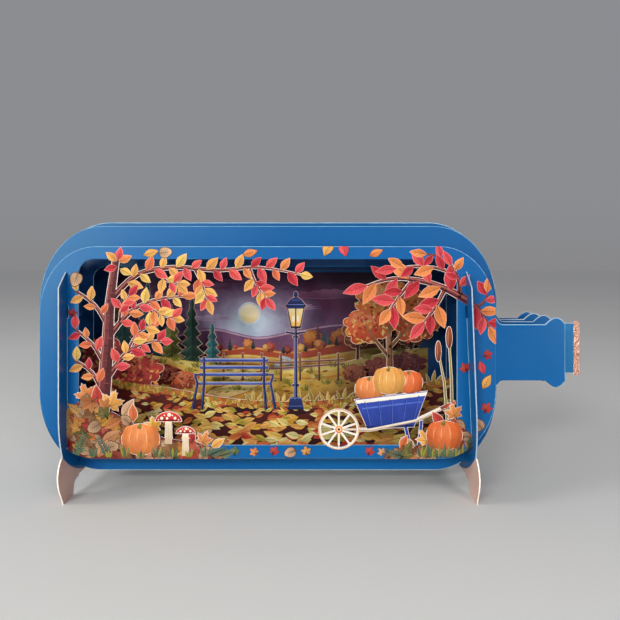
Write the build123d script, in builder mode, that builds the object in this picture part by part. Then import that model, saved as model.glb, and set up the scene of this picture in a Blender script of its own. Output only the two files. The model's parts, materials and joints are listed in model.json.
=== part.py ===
from build123d import *
import math
import os

# Pop-up greeting card: a bottle lying on its side, made of four upright
# card sheets that stand one behind the other and are held by two cross
# struts with feet. Millimetres, +X towards the bottle's neck, the front
# faces -Y, +Z up, origin on the table under the middle of the card.

# ---------------------------------------------------------------- sheets
card = 0.5             # thickness of the printed card
axis_z = 59.4          # height of the bottle's centre line above the table
shift_x = 1.3          # places the middle of the whole card at X = 0
slot_play = 0.1        # clearance on each side of a card in its slot

# depth of each sheet's front face, from the middle of the struts
y_front, y_second, y_third, y_back = -33.1, -17.1, -3.7, 6.4

# left end, right end and half height of each sheet's body, and the
# width and height of its rounded corners
front_body = (-107.9, 74.2, 42.4, 22.3, 27.0)
second_body = (-113.9, 78.6, 51.35, 26.5, 33.2)
third_body = (-116.0, 80.5, 53.7, 28.5, 35.0)
back_body = (-116.0, 80.5, 53.4, 28.5, 35.0)

# window of each framed sheet: left, right, bottom, top, corner radius
front_window = (-92.4, 58.6, -36.9, 37.3, 6.0)
second_window = (-91.2, 57.4, -43.0, 34.3, 5.0)
third_window = (-88.4, 48.0, -44.0, 32.2, 6.0)

# ------------------------------------------------------------------ neck
neck_half = 11.2       # half height of the neck
flare = 3.0            # length and rise of the flare at the shoulder
lip_left = 94.0        # where the lip starts
lip_right = 102.0      # straight end of the mouth
lip_half = 13.9        # half height of the lip
cork_end = 113.4       # end of the cork tongue, on the second sheet only
cork_half = 10.6
band_width = 2.5       # glitter strip at the end of the cork
band_half = 11.3
band_thick = 0.3
flap_left = 66.9       # glue flap of the front neck, behind the frame
flap_half = 21.0

# ---------------------------------------------------------------- struts
strut_left_x = -97.3
strut_right_x = 63.6   # at the height of the bottle's centre line
strut_lean = 2.2       # degrees that the right strut splays out at its feet
lap_z = 18.6           # height where sheet slots and strut slots meet
relief_z = 13.8        # lower end of the wider relief at a sheet's slot
relief_half = 0.9
strut_half_y = 42.0    # straight front and rear edges
strut_top_a, strut_top_b = 54.5, 40.7   # half axes of the arched top
arch_z = -52.5         # underside of the arch between the feet

os.makedirs("parts", exist_ok=True)


# ------------------------------------------------- outlines of the scenery
# Each function gives the corner points of one closed outline, in
# millimetres from the bottle's centre line: x along it, z above it.
def leaf(x, z, length, width, angle):
    """A pointed oval leaf growing from x, z towards angle."""
    side = ((0.10, 0.30), (0.28, 0.82), (0.48, 1.0), (0.70, 0.74), (0.88, 0.32))
    local = [(0.0, 0.0)]
    local += [(t * length, -w * width / 2) for t, w in side]
    local += [(length, 0.0)]
    local += [(t * length, w * width / 2) for t, w in reversed(side)]
    c, s = math.cos(math.radians(angle)), math.sin(math.radians(angle))
    return [(x + c * u - s * v, z + s * u + c * v) for u, v in local]


def maple(x, z, size, angle):
    """A five-lobed, toothed leaf, centred on x, z, its stem away from angle."""
    half = ((0, 1.0), (7, 0.80), (14, 0.86), (18, 0.62), (31, 0.50), (43, 0.72),
            (49, 0.70), (57, 0.93), (66, 0.70), (74, 0.75), (80, 0.55), (91, 0.46),
            (104, 0.57), (116, 0.68), (128, 0.48), (150, 0.38), (168, 0.22),
            (174, 0.62))
    local = list(half) + [(-a, r) for a, r in half[:0:-1]]
    return [
        (
            x + size * k * math.cos(math.radians(a + angle)),
            z + size * k * math.sin(math.radians(a + angle)),
        )
        for a, k in local
    ]


def ribbon(path):
    """A tapered band along a path of (x, z, width) points."""
    left, right = [], []
    last = len(path) - 1
    for n, (x, z, w) in enumerate(path):
        ax, az, _ = path[max(n - 1, 0)]
        bx, bz, _ = path[min(n + 1, last)]
        size = math.hypot(bx - ax, bz - az)
        nx, nz = -(bz - az) / size, (bx - ax) / size
        left.append((x + nx * w / 2, z + nz * w / 2))
        right.append((x - nx * w / 2, z - nz * w / 2))
    return left + right[::-1]


def smooth(path, steps=4):
    """The same path with points added on a smooth curve through it."""
    out = []
    for n in range(len(path) - 1):
        p0, p1 = path[max(n - 1, 0)], path[n]
        p2, p3 = path[n + 1], path[min(n + 2, len(path) - 1)]
        for k in range(steps):
            t = k / steps
            out.append(
                tuple(
                    0.5
                    * (
                        2 * b
                        + (c - a) * t
                        + (2 * a - 5 * b + 4 * c - d) * t * t
                        + (3 * b - a - 3 * c + d) * t * t * t
                    )
                    for a, b, c, d in zip(p0, p1, p2, p3)
                )
            )
    out.append(path[-1])
    return out


def disc(x, z, rx, rz, count=20):
    """A round or oval outline."""
    return [
        (
            x + rx * math.cos(2 * math.pi * n / count),
            z + rz * math.sin(2 * math.pi * n / count),
        )
        for n in range(count)
    ]


def crown(x, z, rx, rz, lobes, bite, turn=0.0):
    """A tree crown with a scalloped edge."""
    count = lobes * 5
    out = []
    for n in range(count):
        a = 2 * math.pi * n / count + turn
        k = 1 - bite + bite * abs(math.sin(lobes * (a - turn) / 2)) ** 0.6
        k *= 1 + 0.06 * math.sin(3 * a + 1.3) + 0.04 * math.sin(5 * a)
        out.append((x + rx * k * math.cos(a), z + rz * k * math.sin(a)))
    return out


def conifer(x, z, height, width, tiers):
    """A fir tree standing on z, with drooping tiers."""
    right = [(x + 0.8, z)]
    right.append((x + 0.8, z + 0.08 * height))
    for n in range(tiers):
        low = 0.08 + 0.92 * n / tiers
        reach = width / 2 * (1 - n / tiers) ** 0.85
        right.append((x + reach, z + height * low))
        right.append((x + reach * 0.45, z + height * (low + 0.62 / tiers)))
    left = [(2 * x - a, b) for a, b in right]
    return right + [(x, z + height)] + left[::-1]


def along(path, share):
    """The point and the direction at a share of a path's length."""
    spans = [
        math.hypot(b[0] - a[0], b[1] - a[1]) for a, b in zip(path, path[1:])
    ]
    want = share * sum(spans)
    for (a, b), span in zip(zip(path, path[1:]), spans):
        if want <= span or span is spans[-1]:
            t = min(want / span, 1.0)
            turn = math.degrees(math.atan2(b[1] - a[1], b[0] - a[0]))
            return a[0] + t * (b[0] - a[0]), a[1] + t * (b[1] - a[1]), turn
        want -= span
    return path[-1][0], path[-1][1], 0.0


def level(path, x):
    """Height of a contour that runs from left to right, at x."""
    for a, b in zip(path, path[1:]):
        if a[0] <= x <= b[0]:
            return a[1] + (b[1] - a[1]) * (x - a[0]) / (b[0] - a[0])
    return path[0][1]


def foliage(path, count, first, last, length, width, spread):
    """Leaves on both sides of a twig, and one at its tip."""
    out = []
    for n in range(count):
        share = first + (last - first) * n / max(count - 1, 1)
        x, z, turn = along(path, share)
        side = 1 if n % 2 else -1
        wobble = math.sin(n * 2.4 + path[0][0])
        size = 1 + 0.13 * math.sin(n * 1.7 + path[0][1])
        if n == count - 1 and last > 0.99:
            c, s = math.cos(math.radians(turn)), math.sin(math.radians(turn))
            out.append(leaf(x - 1.2 * c, z - 1.2 * s, length * size, width, turn))
        else:
            angle = turn + side * (spread + 11 * wobble)
            out.append(leaf(x, z, length * size, width * size, angle))
    return out


# ---------------------------------------------------- front sheet: scenery
tree_trunk = smooth(
    [(-83.5, -41, 7.2), (-82.6, -20, 6.0), (-80.8, 2, 5.0), (-79.8, 20, 4.0),
     (-77.0, 40, 3.0)]
)
tree_twigs = [
    smooth([(-82.0, -12, 2.6), (-74, -1, 2.0), (-66, 4, 1.5), (-58.5, 4.5, 0.8)]),
    smooth([(-80.5, 6, 2.6), (-72, 16, 2.0), (-62, 21, 1.4), (-50, 22.5, 0.8)]),
    smooth([(-79.6, 21, 2.8), (-69, 31, 2.2), (-54, 34.0, 1.9), (-37, 32.8, 1.6),
            (-20, 34, 1.2), (-3, 31, 0.8)]),
    smooth([(-82.3, -17, 2.0), (-87, -8, 1.6), (-94, -3, 1.2)]),
    smooth([(-80.3, 10, 2.0), (-86, 19, 1.6), (-94, 25, 1.2)]),
    smooth([(-46, 33.4, 1.4), (-43, 27, 1.1), (-40.5, 20, 0.8)]),
    smooth([(-24, 33.5, 1.3), (-21, 26.5, 1.0), (-17, 21, 0.8)]),
    smooth([(-81.8, -5, 1.9), (-87, 3.5, 1.5), (-94.5, 10, 1.1)]),
    smooth([(-73.0, 0.4, 1.4), (-69.0, 7.4, 1.1), (-62.5, 11.4, 0.8)]),
    smooth([(-66.0, 19.6, 1.3), (-60, 15.4, 1.1), (-53.5, 13.6, 0.8)]),
    smooth([(-62.0, 33.2, 1.4), (-57.0, 28.6, 1.1), (-51.5, 27.6, 0.8)]),
    smooth([(-76.0, 11.6, 1.3), (-75.2, 18.0, 1.0), (-71.5, 23.4, 0.8)]),
]
tree_leaves = (
    foliage(tree_twigs[0], 11, 0.24, 1.0, 5.9, 3.3, 50)
    + foliage(tree_twigs[1], 13, 0.22, 1.0, 6.0, 3.3, 52)
    + foliage(tree_twigs[2], 25, 0.12, 1.0, 6.2, 3.4, 54)
    + foliage(tree_twigs[3], 5, 0.30, 0.95, 5.6, 3.1, 55)
    + foliage(tree_twigs[4], 5, 0.30, 0.95, 5.6, 3.1, 55)
    + foliage(tree_twigs[5], 8, 0.30, 1.0, 5.8, 3.2, 50)
    + foliage(tree_twigs[6], 8, 0.30, 1.0, 5.8, 3.2, 50)
    + foliage(tree_twigs[7], 5, 0.34, 0.95, 5.4, 3.0, 52)
    + foliage(tree_twigs[8], 7, 0.30, 1.0, 5.6, 3.1, 50)
    + foliage(tree_twigs[9], 7, 0.32, 1.0, 5.6, 3.1, 50)
    + foliage(tree_twigs[10], 6, 0.40, 1.0, 5.6, 3.1, 50)
    + foliage(tree_twigs[11], 6, 0.35, 1.0, 5.4, 3.0, 50)
)

spray_twigs = [
    smooth([(64, 20, 3.6), (55, 25, 2.8), (45, 28.5, 2.2), (33, 29.5, 1.6),
            (22, 26.5, 1.0)]),
    smooth([(54, 25.6, 2.0), (50, 18, 1.5), (45, 11.5, 0.9)]),
    smooth([(41, 29.0, 1.7), (36, 23, 1.3), (31.5, 16.5, 0.9)]),
    smooth([(60, 22, 2.2), (59.2, 29, 1.7), (56, 35.5, 1.2)]),
    smooth([(59.2, 30.6, 1.7), (51, 33.6, 1.4), (42, 34.4, 1.2), (33.5, 33.4, 0.9)]),
]
spray_leaves = (
    foliage(spray_twigs[0], 9, 0.20, 1.0, 9.6, 4.6, 50)
    + foliage(spray_twigs[1], 6, 0.30, 1.0, 9.0, 4.4, 50)
    + foliage(spray_twigs[2], 5, 0.38, 1.0, 9.0, 4.3, 50)
    + foliage(spray_twigs[3], 4, 0.30, 1.0, 6.4, 3.4, 50)
    + foliage(spray_twigs[4], 6, 0.24, 1.0, 7.8, 3.9, 40)
)

# wheelbarrow with pumpkins, standing on the frame's lower edge
wheel = (11.5, -30.6, 8.2)
wheel_rim = 1.1
barrow_shapes = [
    [(17.5, -18.6), (47.0, -15.2), (41.6, -29.8), (22.8, -30.6)],
    ribbon([(11.5, -30.6, 1.3), (24, -30.8, 1.5), (42, -27.2, 1.5),
            (58, -19.6, 1.4)]),
    ribbon([(38.0, -29, 1.5), (40.5, -40, 1.3)]),
    ribbon([(44.5, -27, 1.4), (43.0, -40, 1.2)]),
]
pumpkins = [
    (23.8, -14.4, 6.0, 4.9),
    (39.6, -11.8, 5.6, 4.7),
    (31.6, -11.2, 6.6, 5.6),
]
ground_pumpkins = [(53.6, -33.0, 7.4, 6.0), (-67.5, -34.6, 7.8, 6.4)]

# toadstools and a heap of fallen leaves in the lower left corner
toadstools = [(-56.4, -27.6, 5.4, 4.2), (-49.6, -32.4, 4.0, 3.1)]
heap = smooth(
    [(-94, -20.5), (-88, -19), (-79, -23.5), (-69, -29), (-58, -34),
     (-44, -36), (-38, -40)], 3
) + [(-94, -40)]
heap_leaves = [
    maple(-89.0, -17.6, 6.0, 112), maple(-79.4, -20.6, 6.2, 72),
    maple(-92.4, -25.5, 5.2, 160), maple(-62.6, -29.8, 4.8, 96),
    maple(-42.6, -35.2, 4.6, 66), leaf(-84.4, -22.0, 9.4, 4.8, 96),
    leaf(-75.0, -26.0, 9.0, 4.6, 58), leaf(-70.5, -28.0, 7.8, 4.0, 92),
    leaf(-46.5, -37.0, 7.6, 3.8, 104), leaf(-39.6, -38.0, 6.8, 3.5, 34),
]
right_heap = smooth([(30, -40), (44, -36.5), (52, -34), (61, -27)], 3) + [(61, -40)]
right_leaves = [
    maple(57.4, -24.6, 5.0, 104), maple(46.2, -34.6, 4.8, 124),
    leaf(53.4, -30.0, 8.2, 4.2, 126), leaf(42.0, -38.0, 7.2, 3.7, 146),
    leaf(35.8, -38.6, 6.6, 3.4, 62),
]
reeds = [
    ribbon([(55.8, -38, 1.5), (53.6, -12, 1.0), (50.8, 2.5, 0.7)]),
    ribbon([(57.0, -38, 1.5), (56.4, -10, 1.1), (55.4, 6.5, 0.9)]),
]
reed_heads = [disc(51.2, 0.5, 1.3, 4.4, 14), disc(55.5, 6.0, 1.4, 4.6, 14)]

# ---------------------------------------------------- second sheet: scenery
second_ground = smooth(
    [(-94, -11), (-80, -13.5), (-60, -16.5), (-38, -20.5), (-14, -22.5),
     (10, -21.5), (30, -19), (46, -15), (60, -12)], 3
) + [(60, -45), (-94, -45)]
second_tufts = []
for n, x in enumerate(-24 + 6.3 * k for k in range(13)):
    for side, tall, wide, turn in ((0.0, 6.0, 1.7, 0), (1.2, 4.3, 1.4, -30),
                                   (-1.2, 4.7, 1.4, 28)):
        second_tufts.append(
            leaf(x + side, level(second_ground, x + side) - 1.4,
                 tall + 1.2 * math.sin(2.1 * n + turn), wide,
                 90 + turn + 14 * math.sin(1.9 * n))
        )
bench = [
    [(-47, -15.6), (-17, -15.6), (-17, -14.2), (-47, -14.2)],
    [(-46.5, -11.9), (-17.5, -11.9), (-17.5, -10.3), (-46.5, -10.3)],
    [(-46.5, -8.9), (-17.5, -8.9), (-17.5, -7.3), (-46.5, -7.3)],
    [(-46.5, -5.9), (-17.5, -5.9), (-17.5, -4.3), (-46.5, -4.3)],
    ribbon([(-45.5, -26, 1.5), (-44.6, -15, 1.4), (-44.6, -3.6, 1.3)]),
    ribbon([(-18.5, -26, 1.5), (-19.4, -15, 1.4), (-19.4, -3.6, 1.3)]),
    ribbon([(-48.4, -11.6, 1.3), (-47.4, -15, 1.3), (-49.4, -25.5, 1.5)]),
    ribbon([(-15.6, -11.6, 1.3), (-16.6, -15, 1.3), (-14.6, -26, 1.5)]),
    ribbon([(-49.0, -11.2, 1.1), (-44.8, -11.2, 1.1)]),
    ribbon([(-19.2, -11.2, 1.1), (-15.0, -11.2, 1.1)]),
]
lamp = [
    [(-9.6, -26), (-2.4, -26), (-3.2, -21.5), (-4.7, -20.4), (-7.3, -20.4),
     (-8.8, -21.5)],
    [(-6.9, -22), (-5.1, -22), (-5.3, 9), (-6.7, 9)],
    [(-7.6, -16.2), (-4.4, -16.2), (-4.4, -15.0), (-7.6, -15.0)],
    [(-7.4, 4.2), (-4.6, 4.2), (-4.6, 5.2), (-7.4, 5.2)],
    [(-8.2, 8.2), (-3.8, 8.2), (-2.0, 17.6), (-10.0, 17.6)],
    [(-11.0, 17.2), (-1.0, 17.2), (-3.6, 20.6), (-5.2, 21.6), (-6.8, 21.6),
     (-8.4, 20.6)],
    disc(-6.0, 22.6, 1.1, 1.5, 12),
    ribbon([(-10.4, 6.8, 1.0), (-6.0, 6.0, 1.2), (-1.6, 6.8, 1.0)]),
]
gold_tree = [
    ribbon(smooth([(32.5, -24, 4.2), (33.6, -8, 3.0), (33.2, 6, 2.2),
                   (35, 14, 1.4)])),
    ribbon(smooth([(33.4, -4, 1.8), (27, 4, 1.4), (23, 10, 1.0)])),
    ribbon(smooth([(33.4, 0, 1.8), (40, 7, 1.4), (45, 11, 1.0)])),
    crown(34.0, 17.5, 16.0, 11.5, 13, 0.16),
    crown(24.0, 9.0, 10.5, 7.6, 9, 0.18, 0.4),
    crown(44.5, 10.0, 10.0, 7.8, 9, 0.18, 0.9),
]
shrub = [
    crown(-84.0, -6.0, 13.5, 10.5, 11, 0.18),
    crown(-71.5, -9.5, 9.5, 7.6, 9, 0.18, 0.5),
]

# ----------------------------------------------------- third sheet: scenery
third_ground = smooth(
    [(-92, -1), (-72, -4), (-46, -8), (-20, -11), (2, -10), (22, -6),
     (36, -3), (52, -1)], 3
) + [(52, -46), (-92, -46)]
firs = [
    conifer(-82.0, -6, 31, 13.5, 7),
    conifer(-71.5, -8, 36, 15.0, 8),
    conifer(-61.0, -9, 27, 12.5, 6),
    conifer(-52.0, -11, 33, 13.0, 7),
    conifer(-43.0, -12, 22, 10.5, 6),
]
fence = [ribbon([(-38 + 8.4 * n, -16, 1.3), (-38 + 8.4 * n, -3.6, 1.1)])
         for n in range(7)]
fence += [
    ribbon([(-41, -6.2, 1.0), (-14, -8.0, 1.0), (15, -6.6, 1.0)]),
    ribbon([(-41, -9.6, 1.0), (-14, -10.4, 1.0), (15, -8.4, 1.0)]),
]
round_trees = [
    ribbon([(21, -8, 1.8), (21, 4, 1.2)]),
    ribbon([(33, -6, 2.0), (33, 8, 1.3)]),
    ribbon([(44.5, -4, 2.0), (44.5, 6, 1.3)]),
    crown(21.0, 6.0, 7.4, 7.8, 9, 0.15),
    crown(33.0, 11.0, 8.6, 10.0, 10, 0.15, 0.3),
    crown(45.0, 7.0, 7.6, 8.6, 9, 0.15, 0.7),
]


def placed(points):
    """Outline points moved from the bottle's centre line to the table."""
    return [(x + shift_x, z + axis_z) for x, z in points]


def shapes(outlines):
    """Outlines as faces, to be joined to a sheet in one step."""
    return [
        Polygon(*placed(points), align=None, mode=Mode.PRIVATE)
        for points in outlines
    ]


# --------------------------------------------------------- sheet outlines
def body_outline(body):
    """Upper half of a plain rounded body, drawn in the active line."""
    left, right, half, corner_x, corner_z = body
    left, right = left + shift_x, right + shift_x
    mid, top = axis_z, axis_z + half
    Line((left, mid), (left, top - corner_z))
    EllipticalCenterArc(
        (left + corner_x, top - corner_z), corner_x, corner_z, 180, arc_size=-90
    )
    Line((left + corner_x, top), (right - corner_x, top))
    EllipticalCenterArc(
        (right - corner_x, top - corner_z), corner_x, corner_z, 90, arc_size=-90
    )


def bottle_outline(body):
    """Upper half of a body with its neck and lip."""
    body_outline(body)
    right, corner = body[1] + shift_x, body[2] - body[4]
    mid = axis_z
    Line((right, mid + corner), (right, mid + neck_half + flare * 0.85))
    neck_outline(right)


def neck_outline(right):
    """Flare, neck, lip and mouth above the centre line."""
    mid = axis_z
    root = (right, mid + neck_half + flare * 0.85)
    foot = (right + flare, mid + neck_half)
    Spline(root, foot, tangents=[(0.75, -0.66), (1, 0)])
    Line(foot, (lip_left + shift_x, mid + neck_half))
    Spline(
        (lip_left + shift_x, mid + neck_half),
        (lip_left + 2.1 + shift_x, mid + lip_half - 0.9),
        (lip_left + 4.4 + shift_x, mid + lip_half),
        (lip_right - 1.2 + shift_x, mid + lip_half - 1.1),
        (lip_right + shift_x, mid + neck_half - 0.2),
    )
    Line(
        (lip_right + shift_x, mid + neck_half - 0.2),
        (lip_right + shift_x, mid),
    )


def sheet_plane(y_face):
    """Drawing plane at the back of a sheet whose front face is at y_face."""
    return Plane(origin=(0, y_face + card, 0), x_dir=(1, 0, 0), z_dir=(0, -1, 0))


def window_cut(window):
    """Rounded window taken out of the active sketch."""
    left, right, bottom, top, radius = window
    with Locations(
        ((left + right) / 2 + shift_x, (bottom + top) / 2 + axis_z)
    ):
        RectangleRounded(
            right - left, top - bottom, radius, mode=Mode.SUBTRACT
        )


def strut_x(side, z):
    """X of a strut's middle plane at height z above the centre line."""
    if side == "left":
        return strut_left_x
    return strut_right_x - z * math.tan(math.radians(strut_lean))


def slot_cuts():
    """Both strut slots, open at the sheet's lower edge, with their relief."""
    half = card / 2 + slot_play
    for side in ("left", "right"):
        low, high = -60.0, lap_z
        Polygon(
            *placed(
                [
                    (strut_x(side, low) - half, low),
                    (strut_x(side, low) + half, low),
                    (strut_x(side, high) + half, high),
                    (strut_x(side, high) - half, high),
                ]
            ),
            align=None,
            mode=Mode.SUBTRACT,
        )
        Polygon(
            *placed(
                [
                    (strut_x(side, relief_z) - relief_half, relief_z),
                    (strut_x(side, relief_z) + relief_half, relief_z),
                    (strut_x(side, high) + relief_half, high),
                    (strut_x(side, high) - relief_half, high),
                ]
            ),
            align=None,
            mode=Mode.SUBTRACT,
        )


centre_line = Plane(origin=(0, axis_z, 0), x_dir=(1, 0, 0), z_dir=(0, 1, 0))

# ------------------------------------------------------------ front frame
with BuildPart() as front_frame:
    with BuildSketch(sheet_plane(y_front)):
        with BuildLine():
            body_outline(front_body)
            Line(
                (front_body[1] + shift_x, axis_z + front_body[2] - front_body[4]),
                (front_body[1] + shift_x, axis_z),
            )
            mirror(about=centre_line)
        make_face()
        window_cut(front_window)
        add(
            shapes(
                [ribbon(tree_trunk)]
                + [ribbon(twig) for twig in tree_twigs + spray_twigs]
                + tree_leaves
                + spray_leaves
                + barrow_shapes
                + [disc(x, z, rx, rz) for x, z, rx, rz in pumpkins]
                + [disc(x, z, rx, rz) for x, z, rx, rz in ground_pumpkins]
                + [heap, right_heap]
                + heap_leaves
                + right_leaves
                + reeds
                + reed_heads
            )
        )
        # toadstools: a domed cap on a stem
        for x, z, rx, rz in toadstools:
            add(
                shapes(
                    [
                        [
                            (x + rx * math.cos(a), z + rz * math.sin(a))
                            for a in [math.pi * n / 12 for n in range(13)]
                        ],
                        [(x - 1.3, z + 0.4), (x + 1.3, z + 0.4),
                         (x + 1.7, z - 9), (x - 1.7, z - 9)],
                    ]
                )
            )
        # the barrow's wheel, open between its spokes
        with Locations((wheel[0] + shift_x, wheel[1] + axis_z)):
            Circle(wheel[2])
            Circle(wheel[2] - wheel_rim, mode=Mode.SUBTRACT)
            Circle(1.7)
            with PolarLocations(0, 5, start_angle=18):
                Rectangle(2 * wheel[2] - wheel_rim, 0.8)
        slot_cuts()
    extrude(amount=card)
front_frame.part.label = "front_frame"
export_step(front_frame.part, "parts/front_frame.step")

# ------------------------------------------- front neck, glued behind it
with BuildPart() as front_neck:
    with BuildSketch(sheet_plane(y_front + card)):
        with BuildLine():
            right = front_body[1] + shift_x
            Line(
                (flap_left + shift_x, axis_z),
                (flap_left + shift_x, axis_z + flap_half - 2),
            )
            Line(
                (flap_left + shift_x, axis_z + flap_half - 2),
                (flap_left + 2 + shift_x, axis_z + flap_half),
            )
            Line(
                (flap_left + 2 + shift_x, axis_z + flap_half),
                (right - 2.0, axis_z + flap_half - 2),
            )
            Line(
                (right - 2.0, axis_z + flap_half - 2),
                (right, axis_z + neck_half + flare * 0.85),
            )
            neck_outline(right)
            mirror(about=centre_line)
        make_face()
    extrude(amount=card)
front_neck.part.label = "front_neck"
export_step(front_neck.part, "parts/front_neck.step")

# ----------------------------------------------------------- second sheet
with BuildPart() as second_layer:
    with BuildSketch(sheet_plane(y_second)):
        with BuildLine():
            bottle_outline(second_body)
            mirror(about=centre_line)
        make_face()
        # cork tongue
        with Locations(((lip_right - 4 + cork_end) / 2 + shift_x, axis_z)):
            Rectangle(cork_end - lip_right + 4, 2 * cork_half)
        window_cut(second_window)
        add(
            shapes(
                [second_ground] + second_tufts + bench + lamp + gold_tree + shrub
            )
        )
        slot_cuts()
    extrude(amount=card)
second_layer.part.label = "second_layer"
export_step(second_layer.part, "parts/second_layer.step")

# ------------------------------------------------------------ third sheet
with BuildPart() as third_layer:
    with BuildSketch(sheet_plane(y_third)):
        with BuildLine():
            bottle_outline(third_body)
            mirror(about=centre_line)
        make_face()
        window_cut(third_window)
        add(shapes([third_ground] + firs + fence + round_trees))
        slot_cuts()
    extrude(amount=card)
third_layer.part.label = "third_layer"
export_step(third_layer.part, "parts/third_layer.step")

# ---------------------------------------------- back sheet, with no window
with BuildPart() as back_panel:
    with BuildSketch(sheet_plane(y_back)):
        with BuildLine():
            bottle_outline(back_body)
            mirror(about=centre_line)
        make_face()
        slot_cuts()
    extrude(amount=card)
back_panel.part.label = "back_panel"
export_step(back_panel.part, "parts/back_panel.step")

# ---------------------------------- glitter strip on the end of the cork
with BuildPart() as glitter_band:
    with BuildSketch(sheet_plane(y_second - card)):
        with Locations((cork_end - band_width / 2 + shift_x, axis_z)):
            Rectangle(band_width, 2 * band_half)
    extrude(amount=band_thick)
glitter_band.part.label = "glitter_band"
export_step(glitter_band.part, "parts/glitter_band.step")


# ----------------------------------------------------------------- struts
def strut_outline(foot):
    """Front half of a strut: arched top, straight nose, leg and foot."""
    edge_z = strut_top_b * math.sqrt(1 - (strut_half_y / strut_top_a) ** 2)
    turn = math.degrees(math.atan2(edge_z / strut_top_b,
                                   -strut_half_y / strut_top_a))
    EllipticalCenterArc(
        (0, 0), strut_top_a, strut_top_b, 90, arc_size=turn - 90
    )
    Line((-strut_half_y, edge_z), (-strut_half_y, -23.6))
    Spline(
        (-strut_half_y, -23.6),
        (-40.6, -33.5),
        (-37.8, -40.4),
        tangents=[(0, -1), (0.5, -1)],
    )
    Spline(
        (-37.8, -40.4),
        (-41.6, -43.6),
        (-43.0, -48.0),
        (-41.2, -53.2),
        (-36.9, foot),
        tangents=[(-1, -0.6), (0.6, -1)],
    )
    Line((-36.9, foot), (-25.1, foot))
    Line((-25.1, foot), (-24.0, -55.4))
    Spline((-24.0, -55.4), (-22.2, -53.9), (-18.0, -53.2), (0, arch_z),
           tangents=[(0.2, 1), (1, 0)])


def strut_slots():
    """One slot from the top edge for each of the four sheets."""
    for y in (y_front, y_second, y_third, y_back):
        with Locations((y + card / 2, (lap_z + 60) / 2)):
            Rectangle(card + 2 * slot_play, 60 - lap_z, mode=Mode.SUBTRACT)


with BuildPart() as left_strut:
    with BuildSketch(
        Plane(
            origin=(strut_left_x + shift_x - card / 2, 0, axis_z),
            x_dir=(0, 1, 0),
            z_dir=(1, 0, 0),
        )
    ):
        with BuildLine():
            strut_outline(-axis_z)
            mirror(about=Plane.YZ)
        make_face()
        strut_slots()
    extrude(amount=card)
left_strut.part.label = "left_strut"
export_step(left_strut.part, "parts/left_strut.step")

lean = math.radians(strut_lean)
with BuildPart() as right_strut:
    with BuildSketch(
        Plane(
            origin=(
                strut_right_x + shift_x - card / 2 * math.cos(lean),
                0,
                axis_z - card / 2 * math.sin(lean),
            ),
            x_dir=(0, 1, 0),
            z_dir=(math.cos(lean), 0, math.sin(lean)),
        )
    ):
        with BuildLine():
            strut_outline((card / 2 * math.sin(lean) - axis_z) / math.cos(lean))
            mirror(about=Plane.YZ)
        make_face()
        strut_slots()
    extrude(amount=card)
right_strut.part.label = "right_strut"
export_step(right_strut.part, "parts/right_strut.step")

for piece in (front_frame, front_neck, second_layer, third_layer, back_panel,
              glitter_band, left_strut, right_strut):
    box = piece.part.bounding_box()
    print(piece.part.label, len(piece.part.solids()), round(piece.part.volume, 1),
          [round(v, 2) for v in (*box.min, *box.max)])
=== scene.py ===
import json
import math
import random

import bpy
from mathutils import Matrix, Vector
from mathutils.geometry import tessellate_polygon

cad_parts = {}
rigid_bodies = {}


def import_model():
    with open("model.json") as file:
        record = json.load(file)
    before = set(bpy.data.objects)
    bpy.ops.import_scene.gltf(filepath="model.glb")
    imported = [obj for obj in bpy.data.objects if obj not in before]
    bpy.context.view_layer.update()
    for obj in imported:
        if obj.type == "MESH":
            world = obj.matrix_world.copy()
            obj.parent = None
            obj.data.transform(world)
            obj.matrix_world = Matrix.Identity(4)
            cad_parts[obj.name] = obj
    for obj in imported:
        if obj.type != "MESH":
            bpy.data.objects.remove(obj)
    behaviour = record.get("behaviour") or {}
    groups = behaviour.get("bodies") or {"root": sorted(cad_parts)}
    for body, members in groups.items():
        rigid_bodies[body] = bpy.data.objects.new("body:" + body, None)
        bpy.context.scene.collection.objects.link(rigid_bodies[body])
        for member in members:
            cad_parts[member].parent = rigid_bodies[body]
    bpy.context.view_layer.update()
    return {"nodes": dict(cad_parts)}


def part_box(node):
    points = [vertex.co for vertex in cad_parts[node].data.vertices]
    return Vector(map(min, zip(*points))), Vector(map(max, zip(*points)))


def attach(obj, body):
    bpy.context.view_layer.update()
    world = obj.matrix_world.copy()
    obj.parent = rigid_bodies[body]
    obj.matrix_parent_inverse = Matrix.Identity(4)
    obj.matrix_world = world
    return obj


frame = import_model()
NODES = frame["nodes"]

# The drawing frame of the sheets: millimetres from the bottle's centre
# line, as the sheets were cut.
SHIFT_X, AXIS_Z = 1.3, 59.4
Y_FRONT, Y_SECOND, Y_THIRD, Y_BACK = -33.1, -17.1, -3.7, 6.4


# --------------------------------------------------------------- colours
def lin(c):
    """sRGB 0..255 to linear."""
    out = []
    for v in c[:3]:
        v = v / 255.0
        out.append(v / 12.92 if v <= 0.04045 else ((v + 0.055) / 1.055) ** 2.4)
    return tuple(out)


def mix(a, b, t):
    return tuple(x + (y - x) * t for x, y in zip(a, b))


def tone(c, k):
    """Lighter (k above 1) or darker print of the same colour."""
    if k > 1:
        return mix(c, (255, 250, 240), min((k - 1), 1))
    return tuple(v * k for v in c)


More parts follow.
